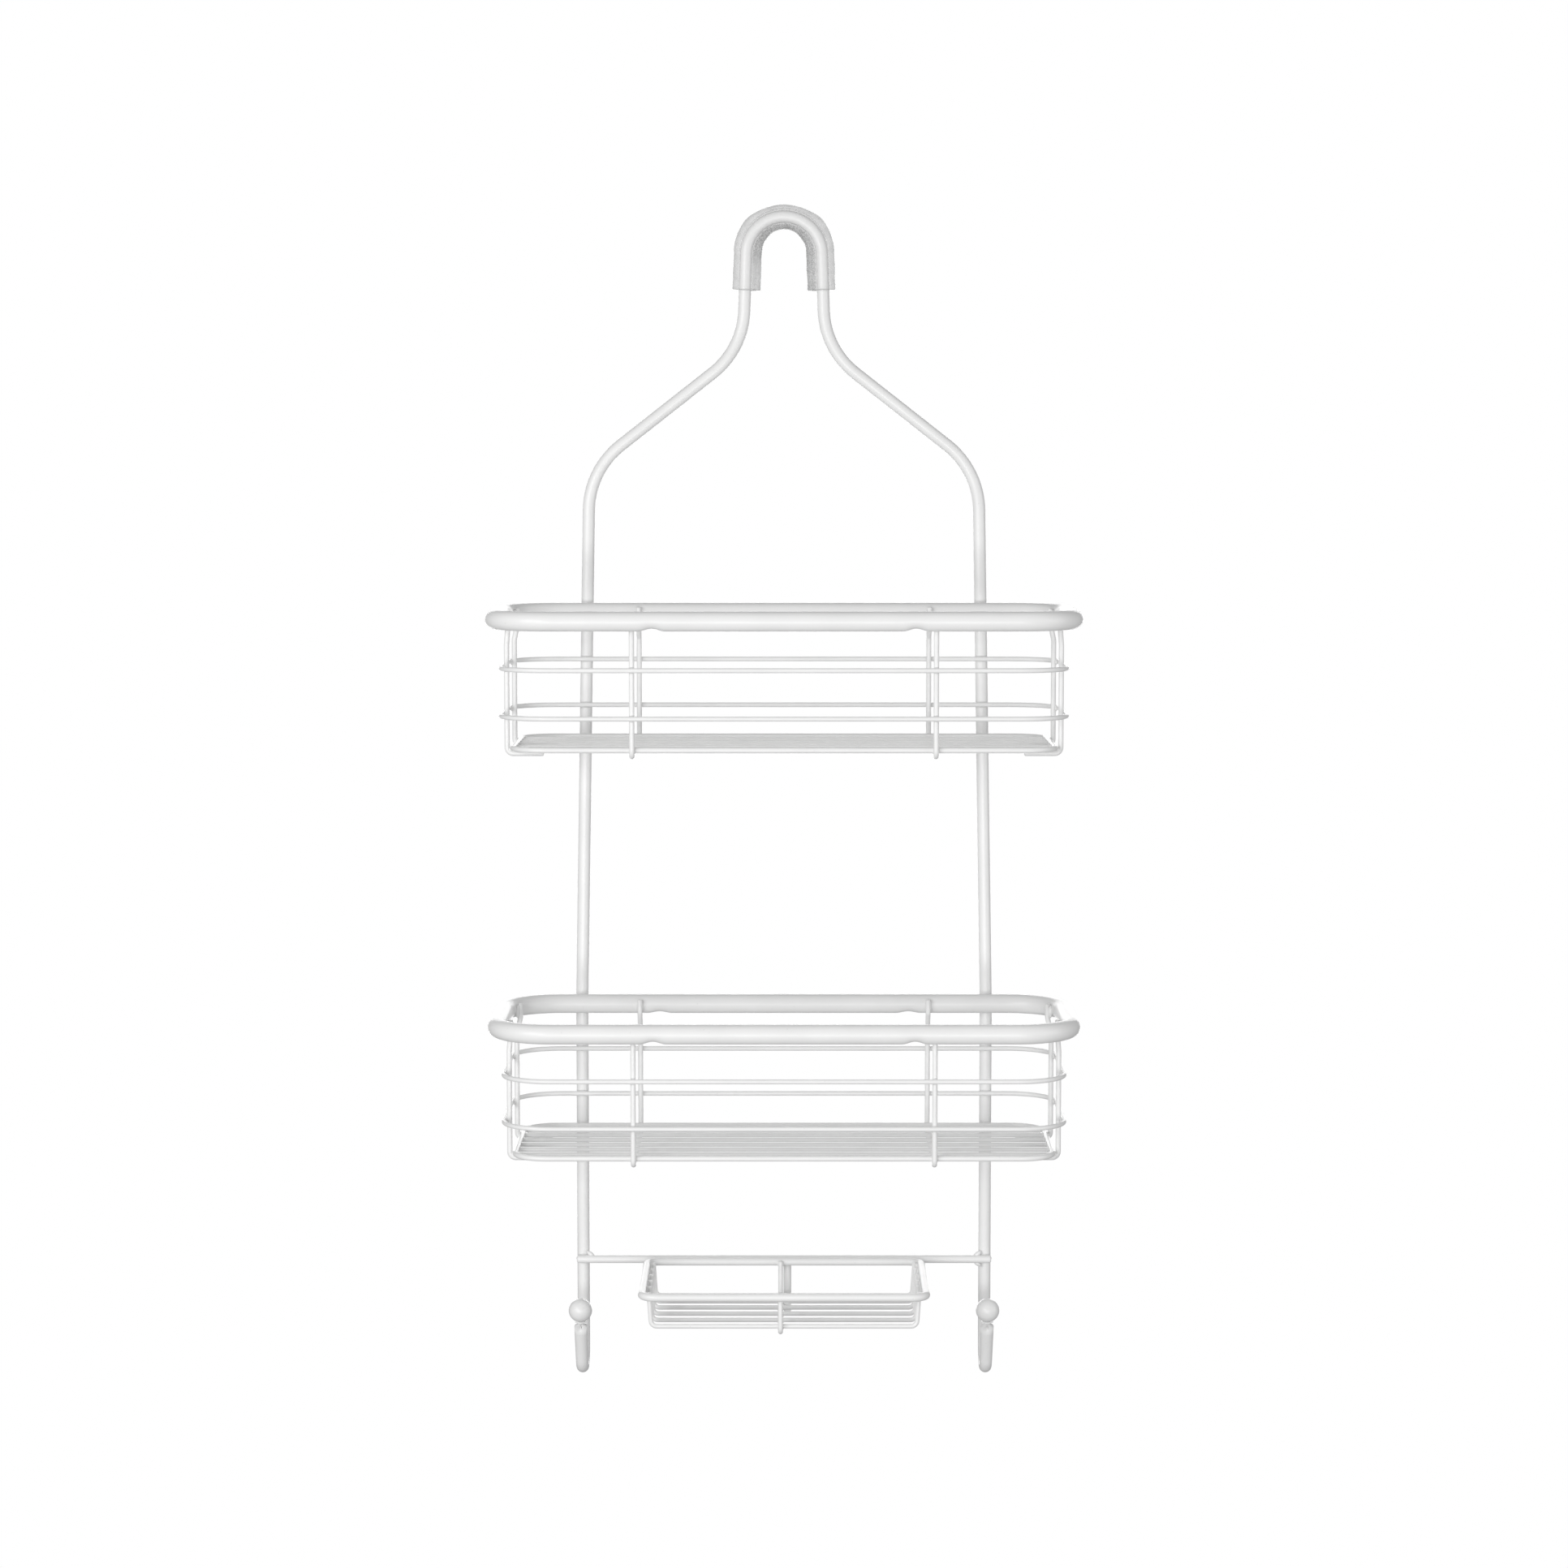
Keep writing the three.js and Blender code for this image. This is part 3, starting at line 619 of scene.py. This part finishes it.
def hanger_rod():
    """The rod, carried along its bends; its coat swells towards the tips of the hooks."""
    def half(side):
        leg_x = ARCH_CORNER_X + (ROD_CROWN_Z + NECK_DROP) * math.tan(LEG_FLARE)
        return [
            hook_end(side * RAIL_X), (side * RAIL_X, HOOK_CORNER_Y, HOOK_Z),
            (side * RAIL_X, 0, HOOK_Z), (side * RAIL_X, 0, -RAIL_FOOT_DROP),
            (side * SHOULDER_HALF_WIDTH, 0, -SHOULDER_DROP), (side * leg_x, 0, -NECK_DROP),
            (side * ARCH_CORNER_X, 0, ROD_CROWN_Z)]
    bends = [HOOK_BEND, HOOK_BEND, RAIL_FOOT_BEND, SHOULDER_BEND, NECK_BEND, ARCH_RADIUS]
    points, directions = bent_path([*half(-1), *half(1)[::-1]], bends + bends[::-1],
                                   spacing=4.0, step=math.radians(3))
    # The section's first axis is level: +Y along the flat part, and square to X in the hooks.
    in_hook = points[:, 2] < (HOOK_Z + CROSSBAR_Z) / 2
    square = np.sign(points[:, :1]) * np.cross(X, directions)
    side_on = np.where(in_hook[:, None], square, Y)
    lengths = np.linalg.norm(np.diff(points, axis=0), axis=1)
    travelled = np.concatenate([[0], np.cumsum(lengths)])
    to_tip = np.minimum(travelled, travelled[-1] - travelled)
    radius = ROD_DIAMETER / 2 + HOOK_SWELL * (1 - smooth_step(to_tip / HOOK_SWELL_LENGTH))
    points, directions, radius = rounded_ends(points, directions, radius, ROD_END_EDGE)
    side_on = np.concatenate([np.repeat(side_on[:1], END_STEPS, 0), side_on,
                              np.repeat(side_on[-1:], END_STEPS, 0)])
    return tube(points, directions, side_on, radius, ROD_SIDES)


def ball_tip(x):
    """A ball with its neck, turned about the hook's direction: the radius is the sixth root of the
    sum of the sixth powers of the neck's and the ball's, so that the two flow together."""
    ball, neck = BALL_DIAMETER / 2, BALL_NECK_DIAMETER / 2
    turn = np.concatenate([np.linspace(0.02, 0.6, 16), np.linspace(0.68, math.pi - 0.01, 36)])
    height = BALL_OFFSET - ball * np.cos(turn)
    plain = ball * np.sin(turn)
    radius = np.where(turn < 1.2, (neck**6 + plain**6) ** (1 / 6), plain)
    neck_height = np.linspace(-BALL_SINK, height[0], 7)[:-1]
    neck_radius = neck + NECK_FILLET * np.exp(-(neck_height + BALL_SINK) / NECK_FILLET_LENGTH)
    height = np.concatenate([neck_height, height])
    radius = np.concatenate([neck_radius, radius])
    points = hook_end(x) + height[:, None] * HOOK_DIRECTION
    directions = np.repeat(HOOK_DIRECTION[None], len(points), axis=0)
    return tube(points, directions, X, radius, BALL_SIDES)


add_coated("bent_rod", hanger_rod(), "hanger_frame")
for side_name, side in (("left", -1), ("right", 1)):
    add_piece(f"ball_tip_{side_name}", ball_tip(side * RAIL_X), BALL_COAT, "ball_coat",
              f"hook_ball_{side_name}")


# ------------------------------------------------------------------ sleeve
# Half sizes of its section: height in the plane of the arch, width across it
SLEEVE_LEG_HEIGHT, SLEEVE_LEG_WIDTH = 7.25, 6.7
SLEEVE_CROWN_FLATTENED, SLEEVE_CROWN_WIDENED, SLEEVE_CROWN_SUNK = 0.95, 0.3, 0.5
SLEEVE_BORE_HEIGHT, SLEEVE_BORE_WIDTH, SLEEVE_BORE_FLATTENED = 4.5, 3.75, 0.7
SLEEVE_LIP, SLEEVE_BORE_LIP_SHARE = 0.7, 0.6
SLEEVE_SIDES = 64

# How dense the vinyl looks, from 0 to 1
VEIL_PLAIN, VEIL_HOLLOW_MORE, VEIL_OVER_ROD_LESS, VEIL_ON_BORE, VEIL_LIP = 0.36, 0.22, 0.31, 0.10, 0.6
FOOT_CLEARS_FROM, FOOT_CLEARS_OVER = 4.0, 20.0
FOOT_CLEARING_LEFT, FOOT_CLEARING_RIGHT = 0.75, 0.25


def there_and_back(there, back):
    """The values along the outside, and then those of the bore in reverse."""
    return np.concatenate([there, back[::-1]])


def vinyl_sleeve():
    """The sleeve: its outside carried one way along the arch and its bore carried back, joined by a
    rounded lip at each end. Bending has flattened it at the crown, and its legs sag inward."""
    rod_inset = SLEEVE_BORE / 2 - ROD_DIAMETER / 2 - GAP
    radius = ARCH_RADIUS - rod_inset
    crown_z = SLEEVE_DIAMETER / 2
    corner_x = radius * math.tan((math.pi / 2 - LEG_FLARE) / 2)
    end_x = corner_x + (crown_z + SLEEVE_LEG_DROP) * math.tan(LEG_FLARE)
    corners = [(-end_x, 0, -SLEEVE_LEG_DROP), (-corner_x, 0, crown_z),
               (corner_x, 0, crown_z), (end_x, 0, -SLEEVE_LEG_DROP)]
    points, directions = bent_path(corners, radius, spacing=1.0, step=math.radians(2.5))
    points, directions, shrink = rounded_ends(points, directions, 0.0, SLEEVE_LIP, steps=5)
    crown = smooth_step(points[:, 2] / crown_z)
    travelled = np.concatenate([[0], np.cumsum(np.linalg.norm(np.diff(points, axis=0), axis=1))])
    wave = 0.05 * np.sin(travelled / 3.1) + 0.04 * np.sin(travelled / 1.7 + 1.3)
    outer_height = (SLEEVE_LEG_HEIGHT - SLEEVE_CROWN_FLATTENED * crown + shrink
                    + wave * (1 - crown))
    outer_width = SLEEVE_LEG_WIDTH + SLEEVE_CROWN_WIDENED * crown + shrink + 0.5 * wave
    outer_shift = -SLEEVE_CROWN_SUNK * crown
    bore_lip = SLEEVE_BORE_LIP_SHARE * shrink
    bore_height = SLEEVE_BORE_HEIGHT - SLEEVE_BORE_FLATTENED * crown - bore_lip
    bore_width = SLEEVE_BORE_WIDTH - bore_lip
    bore_shift = rod_inset + ROD_DIAMETER / 2 + GAP / 2 - bore_height
    return swept(there_and_back(points, points), there_and_back(directions, directions), Y,
                 there_and_back(outer_width, bore_width), there_and_back(outer_height, bore_height),
                 SLEEVE_SIDES, True, there_and_back(outer_shift, bore_shift))


sleeve = add_piece("vinyl_sleeve", vinyl_sleeve(), CLEAR_SLEEVE, "clear_sleeve", "hook_sleeve")


def mark_sleeve(piece):
    """Stores two values at each point of the sleeve. hollow_side is 1 on the inside of the arch,
    where the bore stands off the rod, and places the painted shade of that gap. veil is how dense the
    vinyl looks: least over the rod, which it clings to and so lets through, and least of all on the
    bore, which only shows as a line."""
    mesh = piece.data
    places = np.empty(len(mesh.vertices) * 3)
    mesh.vertices.foreach_get("co", places)
    places = places.reshape(-1, 3) / MM
    above_middle = places[:, 2] - (ROD_CROWN_Z - ARCH_RADIUS)
    from_middle = np.hypot(places[:, 0], np.maximum(above_middle, 0.0))
    off_rod = from_middle - ARCH_RADIUS - np.maximum(-above_middle, 0.0) * math.tan(LEG_FLARE)
    hollow = smooth_step((-off_rod - ROD_DIAMETER / 2 + 0.5) / 0.9)
    over_rod = 1 - smooth_step((np.abs(off_rod + 0.1) - ROD_DIAMETER / 2 + 0.3) / 0.6)
    # The hollow side's painted shade clears towards the foot of each leg, and more so on the left.
    foot = smooth_step((-places[:, 2] - FOOT_CLEARS_FROM) / FOOT_CLEARS_OVER)
    hollow *= 1 - foot * np.where(places[:, 0] < 0, FOOT_CLEARING_LEFT, FOOT_CLEARING_RIGHT)
    veil = VEIL_PLAIN + VEIL_HOLLOW_MORE * hollow - VEIL_OVER_ROD_LESS * over_rod
    on_bore = np.arange(len(veil)) >= len(veil) // 2
    veil = np.where(on_bore, VEIL_ON_BORE * (1 - over_rod), veil)
    at_lip = smooth_step((-places[:, 2] - SLEEVE_LEG_DROP + 0.9) / 0.5)
    veil = np.maximum(veil, VEIL_LIP * at_lip)
    for name, values in (("hollow_side", hollow), ("veil", veil)):
        mesh.attributes.new(name, "FLOAT", "POINT").data.foreach_set("value", values)


mark_sleeve(sleeve)


# ------------------------------------------------------------------ baskets
NOTCH_X = 64.0               # pinched spots under the rim, left and right
NOTCH_HALF_LENGTH = 6.5
NOTCH_DEPTH_FRONT, NOTCH_DEPTH_REAR = 1.4, 0.9
BUTT_RIDGE, BUTT_RIDGE_LENGTH = 0.16, 1.1
RIM_SIDES, FLOOR_WIRE_SIDES = 40, 12

# Half sizes of the weld nuggets: along the joint's two directions, and off it
RIM_NUGGET, RIM_NUGGET_DROP = (1.9, 3.4, 1.1), 1.0
SIDE_NUGGET = (1.65, 1.65, 0.62)
RAIL_SIDE_NUGGET, RAIL_RIM_NUGGET = (2.3, 1.6, 0.62), (3.7, 3.9, 1.2)
FRAME_NUGGET_LONG, FRAME_NUGGET_SHORT = 1.6, 1.2
FLOOR_NUGGET, FLOOR_END_NUGGET = (1.6, 1.6, 0.55), (0.9, 1.25, 1.2)


def rim_tube(z):
    """The rim: radius = the tube's less depth * cos(pi x / 2 w)^2 * how far it faces down, in each
    pinched spot, plus a low ridge at the rear where the tube's ends are butted."""
    points, directions = ring_path(RIM, z, spacing=1.0, step=math.radians(2.5))
    angle = np.arange(RIM_SIDES) * 2 * math.pi / RIM_SIDES
    facing_up = np.cos(angle)[None]
    facing_out = np.sin(angle)[None]
    front = points[:, 1] < RIM[3]
    depth = np.where(front, NOTCH_DEPTH_FRONT, NOTCH_DEPTH_REAR)
    from_spot = np.abs(np.abs(points[:, 0]) - NOTCH_X) / NOTCH_HALF_LENGTH
    pinch = depth * np.cos(np.clip(from_spot, 0, 1) * math.pi / 2) ** 2
    ridge = np.where(front, 0.0, BUTT_RIDGE * np.exp(-(points[:, 0] / BUTT_RIDGE_LENGTH) ** 2))
    radius = (RIM_DIAMETER / 2 - pinch[:, None] * np.clip(-facing_up, 0, 1) ** 1.5
              + ridge[:, None] * np.clip(0.4 + facing_out, 0, 1))
    return tube(points, directions, Z, radius, RIM_SIDES, closed=True)


def cross_wire(x, z):
    """A U-shaped wire from rim to rim under the floor; its rear leg steps back under the rim."""
    return wire([
        (x, UPRIGHT_REAR_TOP_Y, z + UPRIGHT_TOP_RISE), (x, UPRIGHT_REAR_TOP_Y, z - JOGGLE_START),
        (x, UPRIGHT_REAR_Y, z - JOGGLE_END), (x, UPRIGHT_REAR_Y, z + FLOOR_DROP - WRAP),
        (x, UPRIGHT_FRONT_Y, z + FLOOR_DROP - WRAP), (x, UPRIGHT_FRONT_Y, z + UPRIGHT_TOP_RISE),
    ], UPRIGHT_DIAMETER, [JOGGLE_BEND, JOGGLE_BEND, WRAP, WRAP], X)


def end_wire(side, y, z):
    """An upright at the basket's end: it steps out below the rim and its foot turns in."""
    top_x = half_width_inside(y, RIM, touching(RIM_DIAMETER, UPRIGHT_DIAMETER))
    foot_z = z + FLOOR_DROP - WRAP
    return wire([
        (side * top_x, y, z + UPRIGHT_TOP_RISE), (side * top_x, y, z - JOGGLE_START),
        (side * END_WIRE_X, y, z - JOGGLE_END), (side * END_WIRE_X, y, foot_z),
        (side * (END_WIRE_X - END_WIRE_FOOT), y, foot_z),
    ], UPRIGHT_DIAMETER, [JOGGLE_BEND, JOGGLE_BEND, WRAP], Y)


def floor_wire_reach(y):
    """Half the length of a floor wire: it stops at the floor frame, measured at its outer edge."""
    outer_y = y + math.copysign(FLOOR_WIRE_DIAMETER / 2, y - FLOOR_MIDDLE_Y)
    return half_width_inside(outer_y, FLOOR_FRAME, FLOOR_FRAME_DIAMETER / 2 + GAP)


def floor_wire(y, z):
    """A straight wire of the floor, from end to end of its frame."""
    reach = floor_wire_reach(y)
    wire_z = z + FLOOR_DROP + FLOOR_WIRE_LIFT
    return wire([(-reach, y, wire_z), (reach, y, wire_z)], FLOOR_WIRE_DIAMETER, side_on=Z,
                sides=FLOOR_WIRE_SIDES)


def basket_beads(z, side_heights):
    """Weld nuggets where the basket's wires, its rim and the rails meet."""
    rows = []
    rim_inner = RIM_DIAMETER / 2 + GAP / 2
    rim_joint_z = z - RIM_NUGGET_DROP
    side_joint = SIDE_WIRE_DIAMETER / 2 + GAP / 2
    end_joint_x = END_WIRE_X + UPRIGHT_DIAMETER / 2 + GAP / 2
    floor_z = z + FLOOR_DROP
    wire_z = floor_z + FLOOR_WIRE_LIFT
    crossing_z = wire_z - FLOOR_WIRE_DIAMETER / 2 - GAP / 2
    long, short = FRAME_NUGGET_LONG, FRAME_NUGGET_SHORT
    for side in (-1, 1):
        x = side * CROSS_WIRE_X
        for y, out in ((RIM_REAR_Y, 1), (RIM_FRONT_Y, -1)):
            rows.append(((x, y - out * rim_inner, rim_joint_z), X, Z, RIM_NUGGET))
        for y in END_WIRE_YS:
            rim_joint_x = half_width_inside(y, RIM, rim_inner)
            rows.append(((side * rim_joint_x, y, rim_joint_z), Y, Z, RIM_NUGGET))
        for height in side_heights:
            for y, out in ((SIDE_REAR_Y, 1), (SIDE_FRONT_Y, -1)):
                rows.append(((x, y - out * side_joint, height), X, Z, SIDE_NUGGET))
            for y in END_WIRE_YS:
                rows.append(((side * end_joint_x, y, height), Y, Z, SIDE_NUGGET))
            rows.append(((side * rail_x(height), RAIL_JOINT_Y, height), X, Z, RAIL_SIDE_NUGGET))
        rows.append(((side * rail_x(z), RAIL_JOINT_Y, z), X, Z, RAIL_RIM_NUGGET))
        # The wrapped corners of the uprights at the floor frame
        reach = WRAP / 2 * math.sqrt(0.5)
        for y, out in ((FLOOR_REAR_Y, 1), (FLOOR_FRONT_Y, -1)):
            rows.append(((x, y + out * reach, floor_z - reach), X, Y, (long, short, short)))
        for y in END_WIRE_YS:
            frame_x = side * (FLOOR_FRAME[0] / 2 + reach)
            rows.append(((frame_x, y, floor_z - reach), X, Y, (short, long, short)))
        for y in FLOOR_WIRE_YS:
            rows.append(((x, y, crossing_z), X, Y, FLOOR_NUGGET))
            wire_end_x = side * (floor_wire_reach(y) + GAP / 2)
            rows.append(((wire_end_x, y, wire_z), X, Y, FLOOR_END_NUGGET))
    return beads(rows)


for basket in ("upper", "lower"):
    rim_z = middle(f"{basket}_rim")[2]
    add_coated(f"{basket}_rim_tube", rim_tube(rim_z), f"{basket}_rim")
    heights = [middle(f"{basket}_side_wire_{level}")[2] for level in ("high", "low")]
    for level, height in zip(("high", "low"), heights):
        add_coated(f"{basket}_side_ring_{level}", wire_ring(SIDE_RING, height, SIDE_WIRE_DIAMETER),
                   f"{basket}_side_wire_{level}")
    floor_ring = wire_ring(FLOOR_FRAME, rim_z + FLOOR_DROP, FLOOR_FRAME_DIAMETER)
    add_coated(f"{basket}_floor_ring", floor_ring, f"{basket}_floor_frame")
    for side_name, side in (("left", -1), ("right", 1)):
        add_coated(f"{basket}_u_wire_{side_name}", cross_wire(side * CROSS_WIRE_X, rim_z),
                   f"{basket}_cross_wire_{side_name}")
        for end_name, end_y in zip(("front", "rear"), END_WIRE_YS):
            add_coated(f"{basket}_end_upright_{side_name}_{end_name}", end_wire(side, end_y, rim_z),
                       f"{basket}_end_wire_{side_name}_{end_name}")
    for number, wire_y in enumerate(FLOOR_WIRE_YS, 1):
        add_coated(f"{basket}_floor_rod_{number}", floor_wire(wire_y, rim_z),
                   f"{basket}_floor_wire_{number}")
    add_coated(f"{basket}_basket_welds", basket_beads(rim_z, heights))


# ------------------------------------------------------------------ crossbar and soap dish
STAY_SIDES = 20

# Half sizes of the weld nuggets: along the joint's two directions, and off it
DISH_WIRE_NUGGET, DISH_CROSS_NUGGET, DISH_NUGGET_DROP = (1.6, 2.0, 0.7), (1.7, 2.0, 0.7), 0.8
DISH_FLOOR_NUGGET, DISH_STAY_NUGGET = (1.6, 1.6, 0.55), (2.0, 1.6, 0.6)
BAR_NUGGET, STAY_TOP_NUGGET = (3.6, 2.4, 1.2), (2.5, 2.4, 1.1)
LONG_NUGGET, LONG_NUGGET_PLACE = (9.0, 1.5, 0.9), 0.36
# A web fills the corner between a rail and the crossbar: above both ends, and below the right one.
WEB_NUGGET, WEB_RUN, WEB_RISE = (2.5, 1.5, 1.2), 3.3, 2.6
WEB_IN, WEB_BACK, WEB_OFF = 0.8, 1.2, 2.4


def dish_wire(y):
    """A long U-shaped wire of the dish, hung between the rim's two ends."""
    top_x = DISH_RIM_WIDTH / 2 - touching(DISH_RIM_DIAMETER, DISH_WIRE_DIAMETER)
    foot_x = top_x - DISH_WIRE_LEAN
    top_z = DISH_RIM_Z + DISH_WIRE_TOP_RISE
    return wire([(-top_x, y, top_z), (-foot_x, y, DISH_FLOOR_Z), (foot_x, y, DISH_FLOOR_Z),
                 (top_x, y, top_z)], DISH_WIRE_DIAMETER, DISH_WIRE_BEND, Y)


def dish_cross_wire():
    """The U-shaped wire across under the long ones, from the rear of the rim to the front."""
    reach = DISH_RIM_DEPTH / 2 - touching(DISH_RIM_DIAMETER, DISH_CROSS_WIRE_DIAMETER)
    rear, front = DISH_RING[3] + reach, DISH_RING[3] - reach
    low_z = DISH_FLOOR_Z - touching(DISH_WIRE_DIAMETER, DISH_CROSS_WIRE_DIAMETER)
    top_z = DISH_RIM_Z + DISH_WIRE_TOP_RISE
    corners = [(DISH_CROSS_X, rear, top_z), (DISH_CROSS_X, rear, low_z),
               (DISH_CROSS_X, front, low_z), (DISH_CROSS_X, front, top_z)]
    return wire(corners, DISH_CROSS_WIRE_DIAMETER, DISH_WIRE_BEND, X)


def dish_bracket():
    """The stay that drops from the crossbar and runs forward under the dish."""
    foot_z = DISH_FLOOR_Z - touching(DISH_WIRE_DIAMETER, BRACKET_DIAMETER)
    corners = [(BRACKET_X, CROSSBAR_Y, BAR_UNDERSIDE_Z), (BRACKET_X, CROSSBAR_Y, foot_z),
               (BRACKET_X, CROSSBAR_Y - BRACKET_FOOT, foot_z)]
    return wire(corners, BRACKET_DIAMETER, BRACKET_BEND, X, STAY_SIDES)


def dish_beads():
    """Weld nuggets of the dish, of the crossbar at the rails, and of the stay."""
    rows = []
    rim_joint = DISH_RIM_DIAMETER / 2 + GAP / 2
    rim_joint_z = DISH_RIM_Z - DISH_NUGGET_DROP
    for side in (-1, 1):
        for y in DISH_YS:
            wire_joint = (side * (DISH_RIM_WIDTH / 2 - rim_joint), y, rim_joint_z)
            rows.append((wire_joint, Y, Z, DISH_WIRE_NUGGET))
        rows.append(((side * RAIL_X, RAIL_JOINT_Y, CROSSBAR_Z), X, Z, BAR_NUGGET))
        for up in (1,) if side < 0 else (1, -1):
            slope = unit(np.array([side * WEB_RUN, 0.0, up * WEB_RISE]))
            web = (side * (RAIL_X - ROD_DIAMETER / 2 - WEB_IN), CROSSBAR_Y + WEB_BACK,
                   CROSSBAR_Z + up * WEB_OFF)
            rows.append((web, slope, Y, WEB_NUGGET))
        along_rim = (side * LONG_NUGGET_PLACE * DISH_RIM_WIDTH, (CROSSBAR_Y + DISH_REAR_Y) / 2,
                     (CROSSBAR_Z + DISH_RIM_Z) / 2)
        rows.append((along_rim, X, Z, LONG_NUGGET))
    half_depth = DISH_RIM_DEPTH / 2 - rim_joint
    for out in (-1, 1):
        cross_joint = (DISH_CROSS_X, DISH_RING[3] + out * half_depth, rim_joint_z)
        rows.append((cross_joint, X, Z, DISH_CROSS_NUGGET))
    crossing_z = DISH_FLOOR_Z - DISH_WIRE_DIAMETER / 2 - GAP / 2
    for y in DISH_YS:
        rows.append(((DISH_CROSS_X, y, crossing_z), X, Y, DISH_FLOOR_NUGGET))
        if y > CROSSBAR_Y - BRACKET_FOOT:
            rows.append(((BRACKET_X, y, crossing_z), X, Y, DISH_STAY_NUGGET))
    rows.append(((BRACKET_X, CROSSBAR_Y, BAR_UNDERSIDE_Z), X, Y, STAY_TOP_NUGGET))
    return beads(rows)


bar_ends = [(-BAR_REACH, CROSSBAR_Y, CROSSBAR_Z), (BAR_REACH, CROSSBAR_Y, CROSSBAR_Z)]
add_coated("long_crossbar", wire(bar_ends, CROSSBAR_DIAMETER, side_on=Z, sides=BAR_SIDES), "crossbar")
dish_rim_ring = wire_ring(DISH_RING, DISH_RIM_Z, DISH_RIM_DIAMETER, BAR_SIDES)
add_coated("dish_rim_ring", dish_rim_ring, "dish_rim")
for number, wire_y in enumerate(DISH_YS, 1):
    add_coated(f"dish_long_wire_{number}", dish_wire(wire_y), f"dish_wire_{number}")
add_coated("dish_u_wire", dish_cross_wire(), "dish_cross_wire")
add_coated("dish_stay", dish_bracket(), "dish_bracket")
add_coated("dish_welds", dish_beads())


# ------------------------------------------------------------------ studio
# Places and sizes here are in metres, and powers in watts.
FLOOR_Z, FLOOR_WIDTH = -0.95, 24.0
FLOOR_GLOW = 0.30            # what the floor and the surround give back to the caddy;
SURROUND_GLOW = 0.35         # the camera sees both as full white
LIT_PLACE = (0, -0.05, -0.3)
SOFTBOXES = [                # name, place, width and height, power
    ("key_left", (-0.66, -1.85, -0.02), (0.24, 0.40), 4.0),
    ("wide_left", (-1.20, -1.50, 0.00), (0.80, 1.00), 10.6),
    ("low_front", (-0.15, -2.10, -0.57), (1.60, 0.40), 13.4),
    ("side_right", (1.60, -0.75, -0.10), (1.20, 1.20), 5.2),
    ("rear", (0.00, 1.90, -0.30), (1.80, 1.60), 23.0),
]
CAMERA_PLACE = (0.0, -1.9, -0.1119)
CAMERA_PITCH = math.radians(5.14)
CAMERA_LENS, CAMERA_SENSOR = 85.08, 36.0     # millimetres


def glow_by_ray(tree, dimmest):
    """A strength that is 1 for the camera's rays and the dimmest for all others."""
    seen = add_node(tree, "ShaderNodeLightPath")
    strength = add_node(tree, "ShaderNodeMapRange")
    set_inputs(strength, To_Min=dimmest, To_Max=1.0)
    tree.links.new(seen.outputs["Is Camera Ray"], strength.inputs["Value"])
    return strength.outputs["Result"]


def add_studio_floor():
    """A wide pale floor, well below the caddy. It shows white and gives back a little light."""
    bpy.ops.mesh.primitive_plane_add(size=FLOOR_WIDTH, location=(0, 0, FLOOR_Z))
    floor = bpy.context.object
    floor.name = "studio_floor"
    material = bpy.data.materials.new("pale_floor")
    material.use_nodes = True
    tree = material.node_tree
    tree.nodes.clear()
    glow = add_node(tree, "ShaderNodeEmission")
    tree.links.new(glow_by_ray(tree, FLOOR_GLOW), glow.inputs["Strength"])
    output = add_node(tree, "ShaderNodeOutputMaterial")
    tree.links.new(glow.outputs[0], output.inputs["Surface"])
    material.cycles.emission_sampling = "NONE"
    floor.data.materials.append(material)


def light_the_backdrop():
    """A white surround: full white to the camera and a dim, even fill to the caddy."""
    world = bpy.data.worlds.new("white_surround")
    bpy.context.scene.world = world
    world.use_nodes = True
    tree = world.node_tree
    background = tree.nodes["Background"]
    set_inputs(background, Color=(1, 1, 1, 1))
    tree.links.new(glow_by_ray(tree, SURROUND_GLOW), background.inputs["Strength"])


def aim(obj, target):
    """Turns an object so that its -Z looks at the target, with its Y up."""
    forward = unit(np.array(target, float) - np.array(obj.location))
    right = unit(np.cross(forward, Z))
    up = np.cross(right, forward)
    matrix = np.eye(4)
    matrix[:3, 0], matrix[:3, 1], matrix[:3, 2] = right, up, -forward
    matrix[:3, 3] = obj.location
    obj.matrix_world = Matrix(matrix.tolist())


def add_softbox(name, place, size, power):
    """A soft flat light aimed at the middle of the caddy. The camera doesn't see it."""
    data = bpy.data.lights.new(name, "AREA")
    data.shape = "RECTANGLE"
    data.size, data.size_y = size
    data.energy = power
    box = bpy.data.objects.new(name, data)
    bpy.context.scene.collection.objects.link(box)
    box.location = place
    aim(box, LIT_PLACE)
    box.visible_camera = False


def add_camera():
    """The camera, level from side to side and pitched a little down."""
    data = bpy.data.cameras.new("camera")
    data.sensor_width = CAMERA_SENSOR
    data.lens = CAMERA_LENS
    camera = bpy.data.objects.new("camera", data)
    camera.location = CAMERA_PLACE
    camera.rotation_euler = (math.pi / 2 - CAMERA_PITCH, 0.0, 0.0)
    bpy.context.scene.collection.objects.link(camera)
    bpy.context.scene.camera = camera


for softbox in SOFTBOXES:
    add_softbox(*softbox)
add_studio_floor()
light_the_backdrop()
add_camera()
bpy.context.scene.view_settings.view_transform = "Standard"
bpy.context.scene.view_settings.look = "None"
